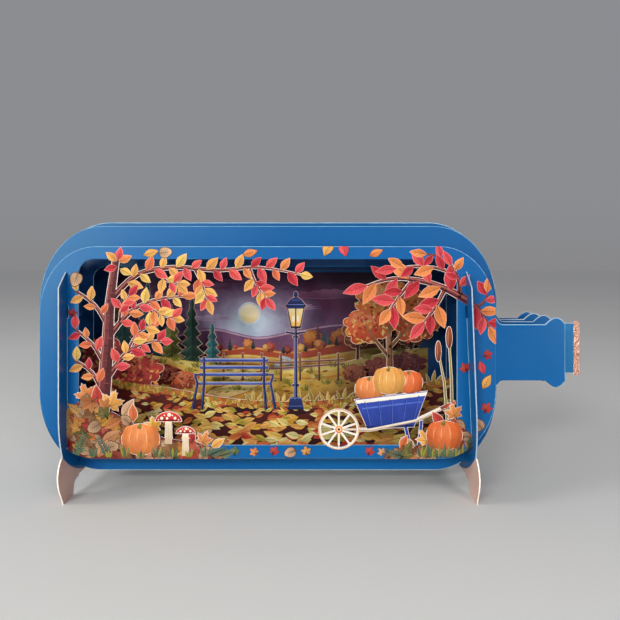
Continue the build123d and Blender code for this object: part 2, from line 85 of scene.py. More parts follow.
CORAL, RED = (236, 78, 88), (206, 44, 60)
ORANGE, AMBER = (246, 146, 82), (247, 178, 92)
YELLOW, GOLD = (249, 203, 104), (232, 172, 58)
PALE = (250, 226, 138)
MAROON, BRICK, BROWN = (128, 38, 44), (164, 54, 44), (112, 64, 50)
TAN, CREAM = (214, 176, 134), (252, 243, 226)
OLIVE, GREEN = (156, 150, 52), (96, 134, 92)
FOREST, TEAL, DEEP = (38, 66, 54), (18, 84, 104), (20, 34, 42)
NAVY, ROYAL = (34, 48, 120), (54, 80, 184)
LILAC, PURPLE = (176, 172, 206), (98, 46, 98)


# -------------------------------------------------------- node shorthands
class Graph:
    """Builds a material's node graph a little more shortly."""

    def __init__(self, name):
        self.material = bpy.data.materials.new(name)
        self.material.use_nodes = True
        self.tree = self.material.node_tree
        self.tree.nodes.clear()
        self.out = self.node("ShaderNodeOutputMaterial")
        self.shader = self.node("ShaderNodeBsdfPrincipled")
        self.link(self.shader.outputs[0], self.out.inputs[0])
        self.co = self.node("ShaderNodeTexCoord").outputs["Object"]
        split = self.node("ShaderNodeSeparateXYZ")
        self.link(self.co, split.inputs[0])
        self.x, self.y, self.z = split.outputs

    def node(self, kind, **values):
        n = self.tree.nodes.new(kind)
        for k, v in values.items():
            setattr(n, k, v)
        return n

    def link(self, a, b):
        self.tree.links.new(a, b)

    def put(self, socket, value):
        if isinstance(value, bpy.types.NodeSocket):
            self.link(value, socket)
        else:
            socket.default_value = value

    def math(self, op, a, b=0.0, c=0.0, clamp=False):
        n = self.node("ShaderNodeMath", operation=op, use_clamp=clamp)
        for s, v in zip(n.inputs, (a, b, c)):
            self.put(s, v)
        return n.outputs[0]

    def noise(self, scale, detail=3.0, rough=0.5, vector=None, colour=False):
        n = self.node("ShaderNodeTexNoise")
        self.link(vector or self.co, n.inputs["Vector"])
        n.inputs["Scale"].default_value = scale
        n.inputs["Detail"].default_value = detail
        n.inputs["Roughness"].default_value = rough
        return n.outputs["Color" if colour else "Fac"]

    def stretch(self, vector, sx, sy, sz):
        n = self.node("ShaderNodeMapping")
        self.link(vector, n.inputs["Vector"])
        n.inputs["Scale"].default_value = (sx, sy, sz)
        return n.outputs[0]

    def blend(self, fac, a, b, mode="MIX"):
        n = self.node("ShaderNodeMix", data_type="RGBA", blend_type=mode)
        self.put(n.inputs[0], fac)
        self.put(n.inputs[6], a if isinstance(a, bpy.types.NodeSocket) else (*a, 1))
        self.put(n.inputs[7], b if isinstance(b, bpy.types.NodeSocket) else (*b, 1))
        return n.outputs[2]

    def ramp(self, value, low, high, a=0.0, b=1.0):
        n = self.node("ShaderNodeMapRange")
        n.clamp = True
        self.put(n.inputs[0], value)
        for s, v in zip(list(n.inputs)[1:5], (low, high, a, b)):
            s.default_value = v
        return n.outputs[0]

    def bump(self, height, strength, distance, normal=None):
        n = self.node("ShaderNodeBump")
        n.inputs["Strength"].default_value = strength
        n.inputs["Distance"].default_value = distance
        self.link(height, n.inputs["Height"])
        if normal is not None:
            self.link(normal, n.inputs["Normal"])
        return n.outputs[0]

    def rounded(self, box):
        """Signed distance in metres from a rounded window in the sheet."""
        left, right, bottom, top, radius = box
        cx, cz = ((left + right) / 2 + SHIFT_X) / 1000, ((bottom + top) / 2 + AXIS_Z) / 1000
        hx = ((right - left) / 2 - radius) / 1000
        hz = ((top - bottom) / 2 - radius) / 1000
        ax = self.math("SUBTRACT", self.math("ABSOLUTE", self.math("SUBTRACT", self.x, cx)), hx)
        az = self.math("SUBTRACT", self.math("ABSOLUTE", self.math("SUBTRACT", self.z, cz)), hz)
        px, pz = self.math("MAXIMUM", ax, 0.0), self.math("MAXIMUM", az, 0.0)
        far = self.math(
            "SQRT", self.math("ADD", self.math("MULTIPLY", px, px), self.math("MULTIPLY", pz, pz))
        )
        near = self.math("MINIMUM", self.math("MAXIMUM", ax, az), 0.0)
        return self.math("SUBTRACT", self.math("ADD", far, near), radius / 1000)


def card_finish(g, rough_low=0.28, rough_high=0.31):
    """Fine board grain, faint rolls in the sheet, uneven satin print."""
    fibre = g.noise(2600.0, 4.0, 0.62)
    mottle = g.noise(420.0, 3.0, 0.55)
    wave = g.noise(34.0, 2.0, 0.5)
    normal = g.bump(wave, 0.08, 0.0006)
    normal = g.bump(mottle, 0.03, 0.00003, normal)
    normal = g.bump(fibre, 0.12, 0.00002, normal)
    g.link(normal, g.shader.inputs["Normal"])
    g.link(g.ramp(mottle, 0.3, 0.7, rough_low, rough_high), g.shader.inputs["Roughness"])
    return fibre, mottle


def blue_print(g, fibre, mottle):
    """The solid blue print, a little uneven, as ink on board is."""
    broad = g.noise(14.0, 3.0, 0.55)
    base = g.blend(g.ramp(broad, 0.32, 0.68), lin((2, 73, 129)), lin((4, 79, 135)))
    base = g.blend(g.ramp(mottle, 0.30, 0.70, 0.0, 0.06), base, lin((8, 95, 150)))
    speck = g.ramp(fibre, 0.62, 0.78, 0.0, 0.10)
    return g.blend(speck, base, lin((3, 53, 105)))


def sheet_material(name, window=None, navy=None, back=None, board=((216, 190, 181), (222, 204, 195)), painted_lit_tongue=None,
                   finish=(0.28, 0.31)):
    """Printed card: blue face, pale cut edges, pale board where scenery is cut."""
    g = Graph(name)
    fibre, mottle = card_finish(g, *finish)
    face = blue_print(g, fibre, mottle)
    if navy:
        dark = g.blend(g.ramp(mottle, 0.3, 0.7), lin((7, 35, 69)), lin((10, 43, 81)))
        face = g.blend(g.ramp(g.rounded(navy), -0.00025, 0.00025, 1.0, 0.0), face, dark)
    # painted light: right of this x the cork tongue is painted a lighter blue, standing in for light where the lip in
    # front shades it
    if painted_lit_tongue:
        face = g.blend(g.ramp(g.x, painted_lit_tongue, painted_lit_tongue + 0.0004), face, g.blend(g.ramp(mottle, 0.3, 0.7), lin((10, 96, 148)), lin((16, 104, 156))))
    normal = g.node("ShaderNodeNewGeometry").outputs["True Normal"]
    split = g.node("ShaderNodeSeparateXYZ")
    g.link(normal, split.inputs[0])
    facing = split.outputs[1]
    if window:
        # board that shows as a thin pale line round each cut-out shape; the sheets behind the front one are given a
        # darker board colour, as painted shade
        rim = g.blend(g.ramp(mottle, 0.3, 0.7), lin(board[0]), lin(board[1]))
        inside = g.ramp(g.rounded(window), -0.00018, 0.00002, 1.0, 0.0)
        front = g.math("LESS_THAN", facing, -0.5)
        face = g.blend(g.math("MULTIPLY", inside, front), face, rim)
    if back:
        plain = g.blend(g.ramp(mottle, 0.3, 0.7), lin((240, 236, 229)), lin((244, 241, 234)))
        face = g.blend(g.math("GREATER_THAN", facing, 0.5), face, plain)
    core = g.blend(g.ramp(g.noise(900.0, 2.0), 0.35, 0.65), lin((160, 182, 208)), lin((196, 210, 226)))
    edge = g.math("LESS_THAN", g.math("ABSOLUTE", facing), 0.5)
    g.link(g.blend(edge, face, core), g.shader.inputs["Base Color"])
    g.shader.inputs["Specular IOR Level"].default_value = 0.15
    return g.material


def strut_material(name, rim):
    """Blue card above an arc, bare kraft-coloured legs below it."""
    g = Graph(name)
    fibre, mottle = card_finish(g)
    face = blue_print(g, fibre, mottle)
    kraft = g.blend(g.ramp(g.noise(60.0, 3.0), 0.35, 0.65), lin((192, 152, 140)), lin((202, 164, 154)))
    hair = g.ramp(g.noise(1500.0, 4.0, 0.7, g.stretch(g.co, 1, 1.0, 0.25)), 0.5, 0.75, 0.0, 0.16)
    kraft = g.blend(hair, kraft, lin((164, 126, 114)))
    yy = g.math("DIVIDE", g.y, 0.0592)
    zz = g.math("DIVIDE", g.math("SUBTRACT", g.z, AXIS_Z / 1000), 0.0529)
    out = g.math("ADD", g.math("MULTIPLY", yy, yy), g.math("MULTIPLY", zz, zz))
    low = g.math("LESS_THAN", g.z, 0.030)
    leg = g.math("MULTIPLY", g.ramp(out, 0.996, 1.004), low)
    face = g.blend(leg, face, kraft)
    normal = g.node("ShaderNodeNewGeometry").outputs["True Normal"]
    split = g.node("ShaderNodeSeparateXYZ")
    g.link(normal, split.inputs[0])
    edge = g.math("LESS_THAN", g.math("ABSOLUTE", split.outputs[0]), 0.5)
    core = g.blend(g.ramp(g.noise(900.0, 2.0), 0.35, 0.65), lin(tone(rim, 0.92)), lin(rim))
    core = g.blend(g.math("LESS_THAN", g.z, 0.0185), core, lin((244, 226, 212)))
    g.link(g.blend(edge, face, core), g.shader.inputs["Base Color"])
    g.shader.inputs["Specular IOR Level"].default_value = 0.15
    return g.material


def ink_material(name, dusk=None):
    """Scenery print: each shape's own colours, washed and grained."""
    g = Graph(name)
    fibre, mottle = card_finish(g, 0.42, 0.55)
    ink = g.node("ShaderNodeAttribute", attribute_name="ink", attribute_type="GEOMETRY").outputs["Color"]
    wash = g.noise(130.0, 4.0, 0.6)
    colour = g.blend(g.ramp(wash, 0.35, 0.62, 0.0, 0.16), ink, (1.0, 0.96, 0.86), "SOFT_LIGHT")
    colour = g.blend(g.ramp(wash, 0.58, 0.40, 0.0, 0.20), colour, (0.10, 0.05, 0.08), "SOFT_LIGHT")
    grain = g.ramp(g.noise(1900.0, 3.0, 0.6), 0.40, 0.66, 0.0, 0.14)
    colour = g.blend(grain, colour, (0.05, 0.03, 0.03), "SOFT_LIGHT")
    if dusk:
        # the printed picture grows darker towards the neck
        start, end, depth = dusk
        colour = g.blend(g.ramp(g.x, start, end, 0.0, depth), colour, lin((26, 14, 24)))
    g.link(colour, g.shader.inputs["Base Color"])
    g.shader.inputs["Specular IOR Level"].default_value = 0.10
    return g.material


def glitter_material(name):
    """Rose-gold glitter: small facets, each with its own colour and tilt."""
    g = Graph(name)
    cell = g.node("ShaderNodeTexVoronoi")
    g.link(g.co, cell.inputs["Vector"])
    cell.inputs["Scale"].default_value = 2300.0
    split = g.node("ShaderNodeSeparateColor")
    g.link(cell.outputs["Color"], split.inputs[0])
    colour = g.blend(g.ramp(split.outputs[0], 0.25, 0.75), lin((136, 76, 62)), lin((190, 138, 118)))
    colour = g.blend(g.ramp(split.outputs[1], 0.80, 0.86), colour, lin((255, 244, 232)))
    colour = g.blend(g.ramp(split.outputs[2], 0.22, 0.12), colour, lin((128, 74, 64)))
    g.link(colour, g.shader.inputs["Base Color"])
    g.link(g.ramp(split.outputs[1], 0.0, 1.0, 0.18, 0.45), g.shader.inputs["Roughness"])
    g.shader.inputs["Metallic"].default_value = 0.55
    g.link(g.bump(split.outputs[2], 0.9, 0.0002), g.shader.inputs["Normal"])
    return g.material


INK = ink_material("scenery_print")
DUSK = ink_material("far_scenery_print", (-0.006, 0.022, 0.74))
DIM = ink_material("middle_scenery_print", (0.000, 0.030, 0.30))
NODES["front_frame"].data.materials.clear()
finishes = {
    "front_frame": sheet_material("front_card", window=(-92.4, 58.6, -36.9, 37.3, 6.0)),
    "front_neck": sheet_material("neck_card", finish=(0.20, 0.22)),
    "second_layer": sheet_material(
        "second_card",
        window=(-91.2, 57.4, -43.0, 34.3, 5.0),
        navy=(-101.5, 67.0, -46.0, 39.8, 12.0),
        # painted shade: this sheet's bare board is darker and browner than the front sheet's, as it lies behind it
        board=((186, 144, 116), (194, 158, 130)),
        # painted light: the cork tongue is painted a lighter blue than the rest of the sheet
        painted_lit_tongue=0.1078,
    ),
    "third_layer": sheet_material(
        "third_card",
        window=(-88.4, 48.0, -44.0, 32.2, 6.0),
        navy=(-104.0, 66.0, -49.0, 47.0, 14.0),
        # painted shade: this sheet's bare board is darker still, as it lies further back
        board=((164, 126, 99), (174, 138, 111)),
    ),
    "back_panel": sheet_material(
        "back_card", navy=(-106.0, 68.0, -49.5, 48.5, 16.0), back=True
    ),
    # painted light: the left strut's cut edge is paler and greyer than the right strut's, though both are the same
    # board
    "left_strut": strut_material("left_strut_card", (166, 175, 188)),
    "right_strut": strut_material("right_strut_card", (148, 166, 190)),
    "glitter_band": glitter_material("glitter_card"),
}
for node, finish in finishes.items():
    slots = NODES[node].data.materials
    slots.clear()
    slots.append(finish)


# -------------------------------------------------- outlines of the scenery
def leaf(x, z, length, width, angle):
    """A pointed oval leaf growing from x, z towards angle."""
    side = ((0.10, 0.30), (0.28, 0.82), (0.48, 1.0), (0.70, 0.74), (0.88, 0.32))
    local = [(0.0, 0.0)]
    local += [(t * length, -w * width / 2) for t, w in side]
    local += [(length, 0.0)]
    local += [(t * length, w * width / 2) for t, w in reversed(side)]
    c, s = math.cos(math.radians(angle)), math.sin(math.radians(angle))
    return [(x + c * u - s * v, z + s * u + c * v) for u, v in local]


MAPLE = ((0, 1.0), (7, 0.80), (14, 0.86), (18, 0.62), (31, 0.50), (43, 0.72),
         (49, 0.70), (57, 0.93), (66, 0.70), (74, 0.75), (80, 0.55), (91, 0.46),
         (104, 0.57), (116, 0.68), (128, 0.48), (150, 0.38), (168, 0.22), (174, 0.62))


def maple(x, z, size, angle, side=0):
    """A five-lobed, toothed leaf, its stem away from angle, or one half of it."""
    local = list(MAPLE) + [(-a, r) for a, r in MAPLE[:0:-1]]
    if side:
        local = [(side * a, r) for a, r in MAPLE]
    return [
        (
            x + size * k * math.cos(math.radians(a + angle)),
            z + size * k * math.sin(math.radians(a + angle)),
        )
        for a, k in local
    ]


def ribbon(path):
    """A tapered band along a path of (x, z, width) points."""
    left, right = [], []
    last = len(path) - 1
    for n, (x, z, w) in enumerate(path):
        ax, az, _ = path[max(n - 1, 0)]
        bx, bz, _ = path[min(n + 1, last)]
        size = math.hypot(bx - ax, bz - az)
        nx, nz = -(bz - az) / size, (bx - ax) / size
        left.append((x + nx * w / 2, z + nz * w / 2))
        right.append((x - nx * w / 2, z - nz * w / 2))
    return left + right[::-1]


def smooth(path, steps=4):
    """The same path with points added on a smooth curve through it."""
    out = []
    for n in range(len(path) - 1):
        p0, p1 = path[max(n - 1, 0)], path[n]
        p2, p3 = path[n + 1], path[min(n + 2, len(path) - 1)]
        for k in range(steps):
            t = k / steps
            out.append(
                tuple(
                    0.5
                    * (
                        2 * b
                        + (c - a) * t
                        + (2 * a - 5 * b + 4 * c - d) * t * t
                        + (3 * b - a - 3 * c + d) * t * t * t
                    )
                    for a, b, c, d in zip(p0, p1, p2, p3)
                )
            )
    out.append(path[-1])
    return out


def disc(x, z, rx, rz, count=20):
    """A round or oval outline."""
    return [
        (
            x + rx * math.cos(2 * math.pi * n / count),
            z + rz * math.sin(2 * math.pi * n / count),
        )
        for n in range(count)
    ]


def crown(x, z, rx, rz, lobes, bite, turn=0.0):
    """A tree crown with a scalloped edge."""
    count = lobes * 5
    out = []
    for n in range(count):
        a = 2 * math.pi * n / count + turn
        k = 1 - bite + bite * abs(math.sin(lobes * (a - turn) / 2)) ** 0.6
        k *= 1 + 0.06 * math.sin(3 * a + 1.3) + 0.04 * math.sin(5 * a)
        out.append((x + rx * k * math.cos(a), z + rz * k * math.sin(a)))
    return out


def conifer(x, z, height, width, tiers):
    """A fir tree standing on z, with drooping tiers."""
    right = [(x + 0.8, z)]
    right.append((x + 0.8, z + 0.08 * height))
    for n in range(tiers):
        low = 0.08 + 0.92 * n / tiers
        reach = width / 2 * (1 - n / tiers) ** 0.85
        right.append((x + reach, z + height * low))
        right.append((x + reach * 0.45, z + height * (low + 0.62 / tiers)))
    left = [(2 * x - a, b) for a, b in right]
    return right + [(x, z + height)] + left[::-1]


def along(path, share):
    """The point and the direction at a share of a path's length."""
    spans = [
        math.hypot(b[0] - a[0], b[1] - a[1]) for a, b in zip(path, path[1:])
    ]
    want = share * sum(spans)
    for (a, b), span in zip(zip(path, path[1:]), spans):
        if want <= span or span is spans[-1]:
            t = min(want / span, 1.0)
            turn = math.degrees(math.atan2(b[1] - a[1], b[0] - a[0]))
            return a[0] + t * (b[0] - a[0]), a[1] + t * (b[1] - a[1]), turn
        want -= span
    return path[-1][0], path[-1][1], 0.0


def level(path, x):
    """Height of a contour that runs from left to right, at x."""
    for a, b in zip(path, path[1:]):
        if a[0] <= x <= b[0]:
            return a[1] + (b[1] - a[1]) * (x - a[0]) / (b[0] - a[0])
    return path[0][1]


def foliage(path, count, first, last, length, width, spread):
    """Leaves on both sides of a twig, and one at its tip."""
    out = []
    for n in range(count):
        share = first + (last - first) * n / max(count - 1, 1)
        x, z, turn = along(path, share)
        side = 1 if n % 2 else -1
        wobble = math.sin(n * 2.4 + path[0][0])
        size = 1 + 0.13 * math.sin(n * 1.7 + path[0][1])
        if n == count - 1 and last > 0.99:
            c, s = math.cos(math.radians(turn)), math.sin(math.radians(turn))
            out.append((x - 1.2 * c, z - 1.2 * s, length * size, width, turn))
        else:
            angle = turn + side * (spread + 11 * wobble)
            out.append((x, z, length * size, width * size, angle))
    return out


# --------------------------------------------------------------- printing
def area(points):
    return 0.5 * sum(
        a[0] * b[1] - b[0] * a[1] for a, b in zip(points, points[1:] + points[:1])
    )


def inset(points, d):
    """The outline moved inwards by d."""
    pts = points if area(points) > 0 else points[::-1]
    out = []
    count = len(pts)
    for n in range(count):
        (ax, az), (bx, bz), (cx, cz) = pts[n - 1], pts[n], pts[(n + 1) % count]
        u, v = (bx - ax, bz - az), (cx - bx, cz - bz)
        lu, lv = math.hypot(*u) or 1e-9, math.hypot(*v) or 1e-9
        n1, n2 = (-u[1] / lu, u[0] / lu), (-v[1] / lv, v[0] / lv)
        bis = (n1[0] + n2[0], n1[1] + n2[1])
        size = math.hypot(*bis)
        if size < 1e-6:
            out.append((bx + n1[0] * d, bz + n1[1] * d))
            continue
        bis = (bis[0] / size, bis[1] / size)
        dot = max(bis[0] * n1[0] + bis[1] * n1[1], 0.45)
        out.append((bx + bis[0] * d / dot, bz + bis[1] * d / dot))
    return out


def rounded_body(left, right, half, corner_x, corner_z, inwards=0.0):
    """Outline of a sheet's body, counter-clockwise."""
    out = []
    left, right, half = left + inwards, right - inwards, half - inwards
    for sx, sz, start in ((1, 1, 0), (-1, 1, 90), (-1, -1, 180), (1, -1, 270)):
        cx = (right - corner_x) if sx > 0 else (left + corner_x)
        cz = sz * (half - corner_z)
        for n in range(13):
            a = math.radians(start + 7.5 * n)
            out.append((cx + corner_x * math.cos(a), cz + corner_z * math.sin(a)))
    return out


def clipped(points, limit):
    """The part of an outline that lies inside a convex one."""
    out = points
    for n, b in enumerate(limit):
        a = limit[n - 1]
        side = [(b[0] - a[0]) * (z - a[1]) - (b[1] - a[1]) * (x - a[0]) for x, z in out]
        if not side or min(side) >= 0:
            continue
        source, out = out, []
        for k, q in enumerate(source):
            p, sp, sq = source[k - 1], side[k - 1], side[k]
            if (sp >= 0) != (sq >= 0):
                t = sp / (sp - sq)
                out.append((p[0] + (q[0] - p[0]) * t, p[1] + (q[1] - p[1]) * t))
            if sq >= 0:
                out.append(q)
    return out


INK_DEPTH = 0.67           # how much light the printed inks give back


class Print:
    """Print on one sheet: thin inked shapes laid on its face, in order."""

    STEP = 0.0032  # millimetres between two shapes that overlap

    def __init__(self, name, y_face, limit=None, clear=(-98, 64, 34), ink=1.0, paint=None, wash=(0.985, 0.92, 0.89)):
        # An ink factor below 1 prints the whole sheet darker; the sheets behind the front one use it as painted shade.
        self.name, self.y, self.limit, self.clear, self.ink = name, y_face, limit, clear, INK_DEPTH * ink
        self.paint, self.wash = paint or INK, wash
        self.verts, self.faces, self.inks = [], [], []

    def add(self, points, colour, order=0, to=None, way=(0, 1), trim=0.0):
        """One shape. With to, its colour runs from colour to that along way."""
        if trim:
            points = inset(points, trim)
        if area(points) < 0:
            points = points[::-1]
        if self.limit:
            left, right, half = self.clear
            if any(x < left or x > right or abs(z) > half for x, z in points):
                points = clipped(points, self.limit)
        clean = []
        for p in points:
            if not clean or math.hypot(p[0] - clean[-1][0], p[1] - clean[-1][1]) > 1e-4:
                clean.append(p)
        if len(clean) > 2 and math.hypot(clean[0][0] - clean[-1][0], clean[0][1] - clean[-1][1]) < 1e-4:
            clean.pop()
        if len(clean) < 3:
            return
        top = self.y - 0.012 - self.STEP * order
        low = self.y + 0.01
        base, count = len(self.verts), len(clean)
        for y in (top, low):
            for x, z in clean:
                self.verts.append(((x + SHIFT_X) / 1000, y / 1000, (z + AXIS_Z) / 1000))
        a, b = (tuple(self.ink * v * w for v, w in zip(lin(c), self.wash)) for c in (colour, to or colour))
        dots = [x * way[0] + z * way[1] for x, z in clean]
        lo, hi = min(dots), max(dots)
        shades = [mix(a, b, (d - lo) / (hi - lo) if hi > lo else 0.0) for d in dots]
        for tri in tessellate_polygon([[Vector((x, z, 0)) for x, z in clean]]):
            p, q, r = (clean[i] for i in tri)
            turn = (q[0] - p[0]) * (r[1] - p[1]) - (q[1] - p[1]) * (r[0] - p[0])
            if turn < 0:
                tri = tri[::-1]
            self.faces.append(tuple(base + i for i in tri))
            self.inks.append([shades[i] for i in tri])
            self.faces.append(tuple(base + count + i for i in tri[::-1]))
            self.inks.append([shades[i] for i in tri[::-1]])
        for i in range(count):
            j = (i + 1) % count
            self.faces.append((base + j, base + i, base + count + i, base + count + j))
            self.inks.append([shades[j], shades[i], shades[i], shades[j]])

    def build(self):
        mesh = bpy.data.meshes.new(self.name)
        mesh.from_pydata(self.verts, [], self.faces)
        mesh.materials.append(self.paint)
        layer = mesh.attributes.new("ink", "FLOAT_COLOR", "CORNER")
        flat = [v for face in self.inks for shade in face for v in (*shade, 1.0)]
        layer.data.foreach_set("color", flat)
        mesh.validate()
        mesh.update()
        obj = bpy.data.objects.new(self.name, mesh)
        bpy.context.scene.collection.objects.link(obj)
        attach(obj, "root")
        return obj

    # ---- small drawn things, used on several sheets
    def leaf(self, x, z, length, width, angle, colour, order=0, edge=0.22, vein=True, rim=None):
        """A leaf with a darker half and a midrib; edge leaves bare board."""
        c, s = math.cos(math.radians(angle)), math.sin(math.radians(angle))
        if rim:
            self.add(leaf(x, z, length, width, angle), rim, order)
            order += 1
        le, wi = length - 2.4 * edge, width - 2 * edge
        x0, z0 = x + c * edge, z + s * edge
        self.add(leaf(x0, z0, le, wi, angle), tone(colour, 0.94), order, tone(colour, 1.10), (c, s))
        side = ((0.10, 0.30), (0.28, 0.82), (0.48, 1.0), (0.70, 0.74), (0.88, 0.32))
        half = [(0.02 * le, 0.0)] + [(t * le, -w * wi / 2 * 0.97) for t, w in side]
        half += [(0.98 * le, 0.0)]
        half = [(x0 + c * u - s * v, z0 + s * u + c * v) for u, v in half]
        self.add(half, tone(colour, 0.82), order + 1, tone(colour, 0.95), (c, s))
        if vein:
            rib = [(x0, z0, 0.30), (x0 + c * le * 0.55, z0 + s * le * 0.55, 0.18),
                   (x0 + c * le * 0.9, z0 + s * le * 0.9, 0.08)]
            self.add(ribbon(rib), tone(colour, 0.64), order + 2)
        if vein and length > 6:
            for t in (0.26, 0.44, 0.62):
                for side in (-1, 1):
                    u, v = t * le, 0.0
                    u2, v2 = (t + 0.15) * le, side * wi * 0.36 * (1 - abs(t - 0.4))
                    self.add(ribbon([(x0 + c * u - s * v, z0 + s * u + c * v, 0.13),
                                     (x0 + c * u2 - s * v2, z0 + s * u2 + c * v2, 0.05)]),
                             tone(colour, 0.70), order + 2)

    def maple(self, x, z, size, angle, colour, order=0, edge=0.0, rim=None):
        """A five-lobed leaf with a darker half and its veins."""
        way = (math.cos(math.radians(angle)), math.sin(math.radians(angle)))
        if rim:
            self.add(maple(x, z, size, angle), rim, order)
            order, edge = order + 1, edge or 0.16
        self.add(maple(x, z, size, angle), tone(colour, 0.88), order, tone(colour, 1.12), way, trim=edge)
        self.add(maple(x, z, size - 1.5 * edge, angle, -1), tone(colour, 0.76), order + 1, tone(colour, 0.98), way)
        dark = tone(colour, 0.56)
        self.add(ribbon([(x - size * 0.58 * way[0], z - size * 0.58 * way[1], 0.26),
                         (x + size * 0.78 * way[0], z + size * 0.78 * way[1], 0.07)]), dark, order + 2)
        for turn, reach in ((-116, 0.46), (-57, 0.70), (57, 0.70), (116, 0.46)):
            a = math.radians(angle + turn)
            b = (x - 0.16 * size * way[0], z - 0.16 * size * way[1])
            tip = (x + size * reach * math.cos(a), z + size * reach * math.sin(a))
            self.add(ribbon([(*b, 0.22), (*tip, 0.07)]), dark, order + 2)

    def frond(self, x, z, length, angle, colour, order=0):
        """A sprig with paired narrow leaflets."""
        for n in range(7):
            t = 0.12 + 0.125 * n
            turn = angle + 10 * math.sin(x) * t
            c, s = math.cos(math.radians(turn)), math.sin(math.radians(turn))
            le = length * (0.34 - 0.028 * n)
            for side in (-1, 1):
                self.add(leaf(x + c * t * length, z + s * t * length, le, le * 0.34, turn + side * (50 - 2 * n)),
                         tone(colour, 0.78 + 0.05 * n), order, tone(colour, 1.16), (c, s))
        c, s = math.cos(math.radians(angle)), math.sin(math.radians(angle))
        self.add(ribbon([(x, z, 0.4), (x + c * length * 0.5, z + s * length * 0.5, 0.26), (x + c * length, z + s * length, 0.08)]),
                 tone(colour, 0.6), order + 1)

    def aspen(self, x, z, r, angle, colour, order=0, rim=None):
        """A small round leaf with a short tip and paired veins."""
        c, s = math.cos(math.radians(angle)), math.sin(math.radians(angle))

        def at(u, v):
            return (x + c * u - s * v, z + s * u + c * v)

        def outline(k):
            out = []
            for n in range(26):
                a = 2 * math.pi * n / 26
                reach = r * k * (1 + 0.30 * max(math.cos(a), 0) ** 6 - 0.20 * max(-math.cos(a), 0) ** 8)
                reach *= 1 + 0.055 * (n % 2)
                out.append(at(reach * math.cos(a), 0.92 * reach * math.sin(a)))
            return out

        if rim:
            self.add(outline(1.0), rim, order)
        self.add(outline(0.90), tone(colour, 0.82), order + 1, tone(colour, 1.1), (c, s))
        vein = tone(colour, 0.50)
        self.add(ribbon([(*at(-1.25 * r, 0), 0.30), (*at(0, 0), 0.24), (*at(0.86 * r, 0), 0.08)]), vein, order + 2)
        for t, reach in ((-0.62, 0.46), (-0.3, 0.66), (0.02, 0.66), (0.34, 0.5)):
            for side in (-1, 1):
                self.add(ribbon([(*at(t * r, 0), 0.18), (*at((t + reach * 0.72) * r, side * reach * r * 0.86), 0.07)]), vein, order + 2)

    def pumpkin(self, x, z, rx, rz, order=0, edge=0.2, colour=ORANGE):
        """A ribbed pumpkin with a stalk."""
        self.add(disc(x, z, rx, rz, 26), CUT, order)
        rx, rz = rx - edge, rz - edge
        self.add(disc(x, z, rx, rz, 26), tone(colour, 0.70), order + 1, tone(colour, 1.0))
        for n, (dx, k) in enumerate(((-0.62, 0.36), (0.62, 0.36), (-0.34, 0.40), (0.34, 0.40), (0, 0.40))):
            shade = (0.88, 0.82, 0.96, 0.90, 1.02)[n]
            self.add(disc(x + dx * rx, z, rx * k, rz * (0.90 + 0.05 * (n > 1)), 18),
                     tone(colour, shade * 0.84), order + 2 + n, tone(colour, shade * 1.10))
        for dx in (-0.46, -0.14, 0.24):
            self.add(ribbon([(x + dx * rx, z + rz * 0.62, 0.10), (x + dx * rx * 1.3, z + rz * 0.2, 0.34),
                             (x + dx * rx * 1.3, z - rz * 0.2, 0.10)]), tone(colour, 1.45), order + 7)
        self.add(ribbon([(x - rx * 0.1, z + rz * 0.70, 0.24 * rx), (x + rx * 0.02, z + rz * 1.0, 0.15 * rx)]),
                 (110, 100, 44), order + 8, (152, 144, 70))


CUT = (250, 224, 212)      # bare board at a die-cut edge
rng = random.Random(48)


class Layers:
    """Gives each of many scattered shapes a level above those it overlaps."""

    def __init__(self, cap):
        self.cap, self.items = cap, []

    def level(self, x, z, r):
        found = 0
        for a, b, q, k in self.items:
            if (a - x) ** 2 + (b - z) ** 2 < (q + r) ** 2:
                found = max(found, k + 1)
        if found >= self.cap:
            return None
        self.items.append((x, z, r, found))
        return found


def loops(node, y_face):
    """Outlines of a sheet's front face, as lists of (x, z) in millimetres."""
    mesh = NODES[node].data
    place = {}
    used = set()
    for poly in mesh.polygons:
        if poly.normal.y > -0.9:
            continue
        ids = []
        for v in poly.vertices:
            co = mesh.vertices[v].co
            if abs(co.y * 1000 - y_face) > 0.05:
                break
            key = (round(co.x * 1e5), round(co.z * 1e5))
            place[key] = (co.x * 1000 - SHIFT_X, co.z * 1000 - AXIS_Z)
            ids.append(key)
        else:
            for a, b in zip(ids, ids[1:] + ids[:1]):
                if (b, a) in used:
                    used.discard((b, a))
                elif a != b:
                    used.add((a, b))
    after = {}
    for a, b in sorted(used):
        after.setdefault(a, []).append(b)
    out = []
    while after:
        start = min(after)
        loop, here = [start], after[start].pop()
        if not after[start]:
            del after[start]
        while here != start and here in after:
            loop.append(here)
            nxt = after[here].pop()
            if not after[here]:
                del after[here]
            here = nxt
        if len(loop) > 2:
            out.append([place[k] for k in loop])
    return out


class Card:
    """Tells whether a point lies on a cut sheet; its slots are passed over."""

    def __init__(self, node, y_face):
        self.bins = {}
        for loop in loops(node, y_face):
            for n, (bx, bz) in enumerate(loop):
                ax, az = loop[n - 1]
                for k in range(math.floor(min(az, bz)), math.floor(max(az, bz)) + 1):
                    self.bins.setdefault(k, []).append((ax, az, bx, bz))

    def has(self, x, z):
        if abs(x + 97.3) < 1.3 or abs(x - 63.6) < 2.0:
            return True
        hits = 0
        for ax, az, bx, bz in self.bins.get(math.floor(z), ()):
            if (az > z) != (bz > z) and x < ax + (z - az) * (bx - ax) / (bz - az):
                hits += 1
        return hits % 2 == 1


